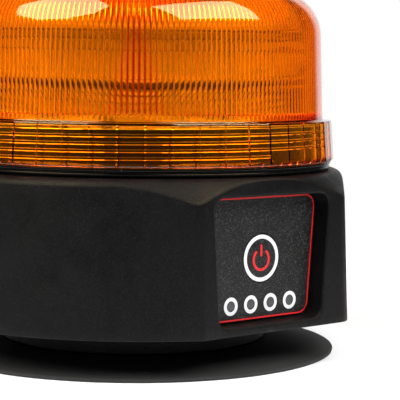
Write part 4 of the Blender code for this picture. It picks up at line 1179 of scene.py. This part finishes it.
def add_camera():
    turn = Matrix.Rotation(VIEW_AZIMUTH, 3, "Z")
    forward, right, up = (turn @ axis for axis in camera_axes())
    place = turn @ Vector((0, -CAMERA_DISTANCE, CAMERA_HEIGHT)) * MM
    data = bpy.data.cameras.new("camera")
    data.lens = CAMERA_LENS
    data.sensor_width = SENSOR_WIDTH
    data.clip_end = 50.0
    item = new_object("camera", data)
    item.matrix_world = Matrix.Translation(place) @ Matrix((right, up, -forward)).transposed().to_4x4()
    bpy.context.scene.camera = item


def add_softbox(name, azimuth, elevation, points):
    """A flat glowing panel that faces the beacon; azimuth is from the camera's forward direction."""
    item = helper(name, ([(x, y, 0) for x, y in points], [list(range(len(points)))]))
    material, tree = new_material(name)
    item.data.materials.append(material)
    tree.nodes.clear()
    glow = node(tree, "ShaderNodeEmission", Strength=SOFTBOX_STRENGTH)
    path = node(tree, "ShaderNodeLightPath")
    tint = mix_colour(tree, path.outputs["Is Glossy Ray"], STUDIO_WHITE, SOFTBOX_REFLECTED)
    tree.links.new(tint, glow.inputs["Color"])
    dark = node(tree, "ShaderNodeEmission", Strength=0.0)
    side = node(tree, "ShaderNodeNewGeometry")
    output = node(tree, "ShaderNodeOutputMaterial")
    mix_shaders(tree, side.outputs["Backfacing"], glow, dark, output)
    turn = Matrix.Rotation(VIEW_AZIMUTH - azimuth, 4, "Z") @ Matrix.Rotation(elevation, 4, "X")
    item.matrix_world = (
        turn @ Matrix.Translation((0, SOFTBOX_DISTANCE * MM, 0)) @ Matrix.Rotation(math.radians(90), 4, "X")
    )


def studio_colour(tree, direction):
    """What a ray meets that way: white for the camera, and for others a white backdrop in a dark studio.

    Rays that have passed through a clear part meet a wider and brighter studio, dim on the camera's side.
    """
    facing = node(tree, "ShaderNodeVectorMath", operation="DOT_PRODUCT")
    facing.inputs[1].default_value = (math.sin(-VIEW_AZIMUTH), math.cos(-VIEW_AZIMUTH), 0)
    tree.links.new(direction, facing.inputs[0])
    share = facing.outputs["Value"]
    backdrop = mix_colour(tree, ramp(tree, share, *BACKDROP_EDGE), STUDIO_DARK, STUDIO_WHITE)
    glow = mix_colour(tree, ramp(tree, share, *GLOW_EDGE), STUDIO_DIM, STUDIO_GLOW)
    path = node(tree, "ShaderNodeLightPath")
    met = mix_colour(tree, path.outputs["Transmission Depth"], backdrop, glow)
    return mix_colour(tree, path.outputs["Is Camera Ray"], met, STUDIO_WHITE)


def add_world():
    world = bpy.data.worlds.new("studio")
    bpy.context.scene.world = world
    world.use_nodes = True
    tree = world.node_tree
    tree.nodes.clear()
    place = node(tree, "ShaderNodeTexCoord")
    background = node(tree, "ShaderNodeBackground")
    output = node(tree, "ShaderNodeOutputWorld")
    tree.links.new(studio_colour(tree, place.outputs["Generated"]), background.inputs["Color"])
    tree.links.new(background.outputs[0], output.inputs["Surface"])


def add_floor():
    corners = [(-1, -1), (1, -1), (1, 1), (-1, 1)]
    vertices = [(x * FLOOR_REACH, y * FLOOR_REACH, FLOOR_HEIGHT) for x, y in corners]
    item = helper("floor", (vertices, [(0, 1, 2, 3)]))
    surface("floor_white", (0.9, 0.9, 0.9), 0.7, variation=0.01, rough_variation=0.05, specular=0.2)
    item.data.materials.append(bpy.data.materials["floor_white"])
    fade_floor(bpy.data.materials["floor_white"])


def fade_floor(material):
    """Away from the beacon the floor glows as the studio behind it does."""
    tree = material.node_tree
    shader = tree.nodes["Principled BSDF"]
    output = tree.nodes["Material Output"]
    place = node(tree, "ShaderNodeTexCoord")
    reach = node(tree, "ShaderNodeVectorMath", operation="LENGTH")
    towards = node(tree, "ShaderNodeVectorMath", operation="NORMALIZE")
    for measure in (reach, towards):
        tree.links.new(place.outputs["Object"], measure.inputs[0])
    glow = node(tree, "ShaderNodeEmission", Strength=1.0)
    tree.links.new(studio_colour(tree, towards.outputs[0]), glow.inputs["Color"])
    mix_shaders(tree, ramp(tree, reach.outputs["Value"], *FLOOR_FADE), shader, glow, output)


def add_studio():
    add_camera()
    add_world()
    add_floor()
    corners = [math.radians(6 + 45 * i) for i in range(8)]
    octagon = [(OCTABOX_RADIUS * math.cos(turn), OCTABOX_RADIUS * math.sin(turn)) for turn in corners]
    add_softbox("octabox", math.radians(-121), math.radians(48.5), octagon)
    oblong = [(-550, -315), (550, -270), (480, 440), (-490, 440)]
    add_softbox("softbox", math.radians(124), math.radians(46), oblong)
    bpy.context.scene.view_settings.view_transform = "Standard"


add_materials()
dress_frame()
add_lens()
add_lens_seal()
add_mount_ring()
add_housing()
add_bottom_cover()
add_rubber_foot()
add_overlay()
add_button()
add_port()
add_cover_screws()
add_tower()
add_studio()
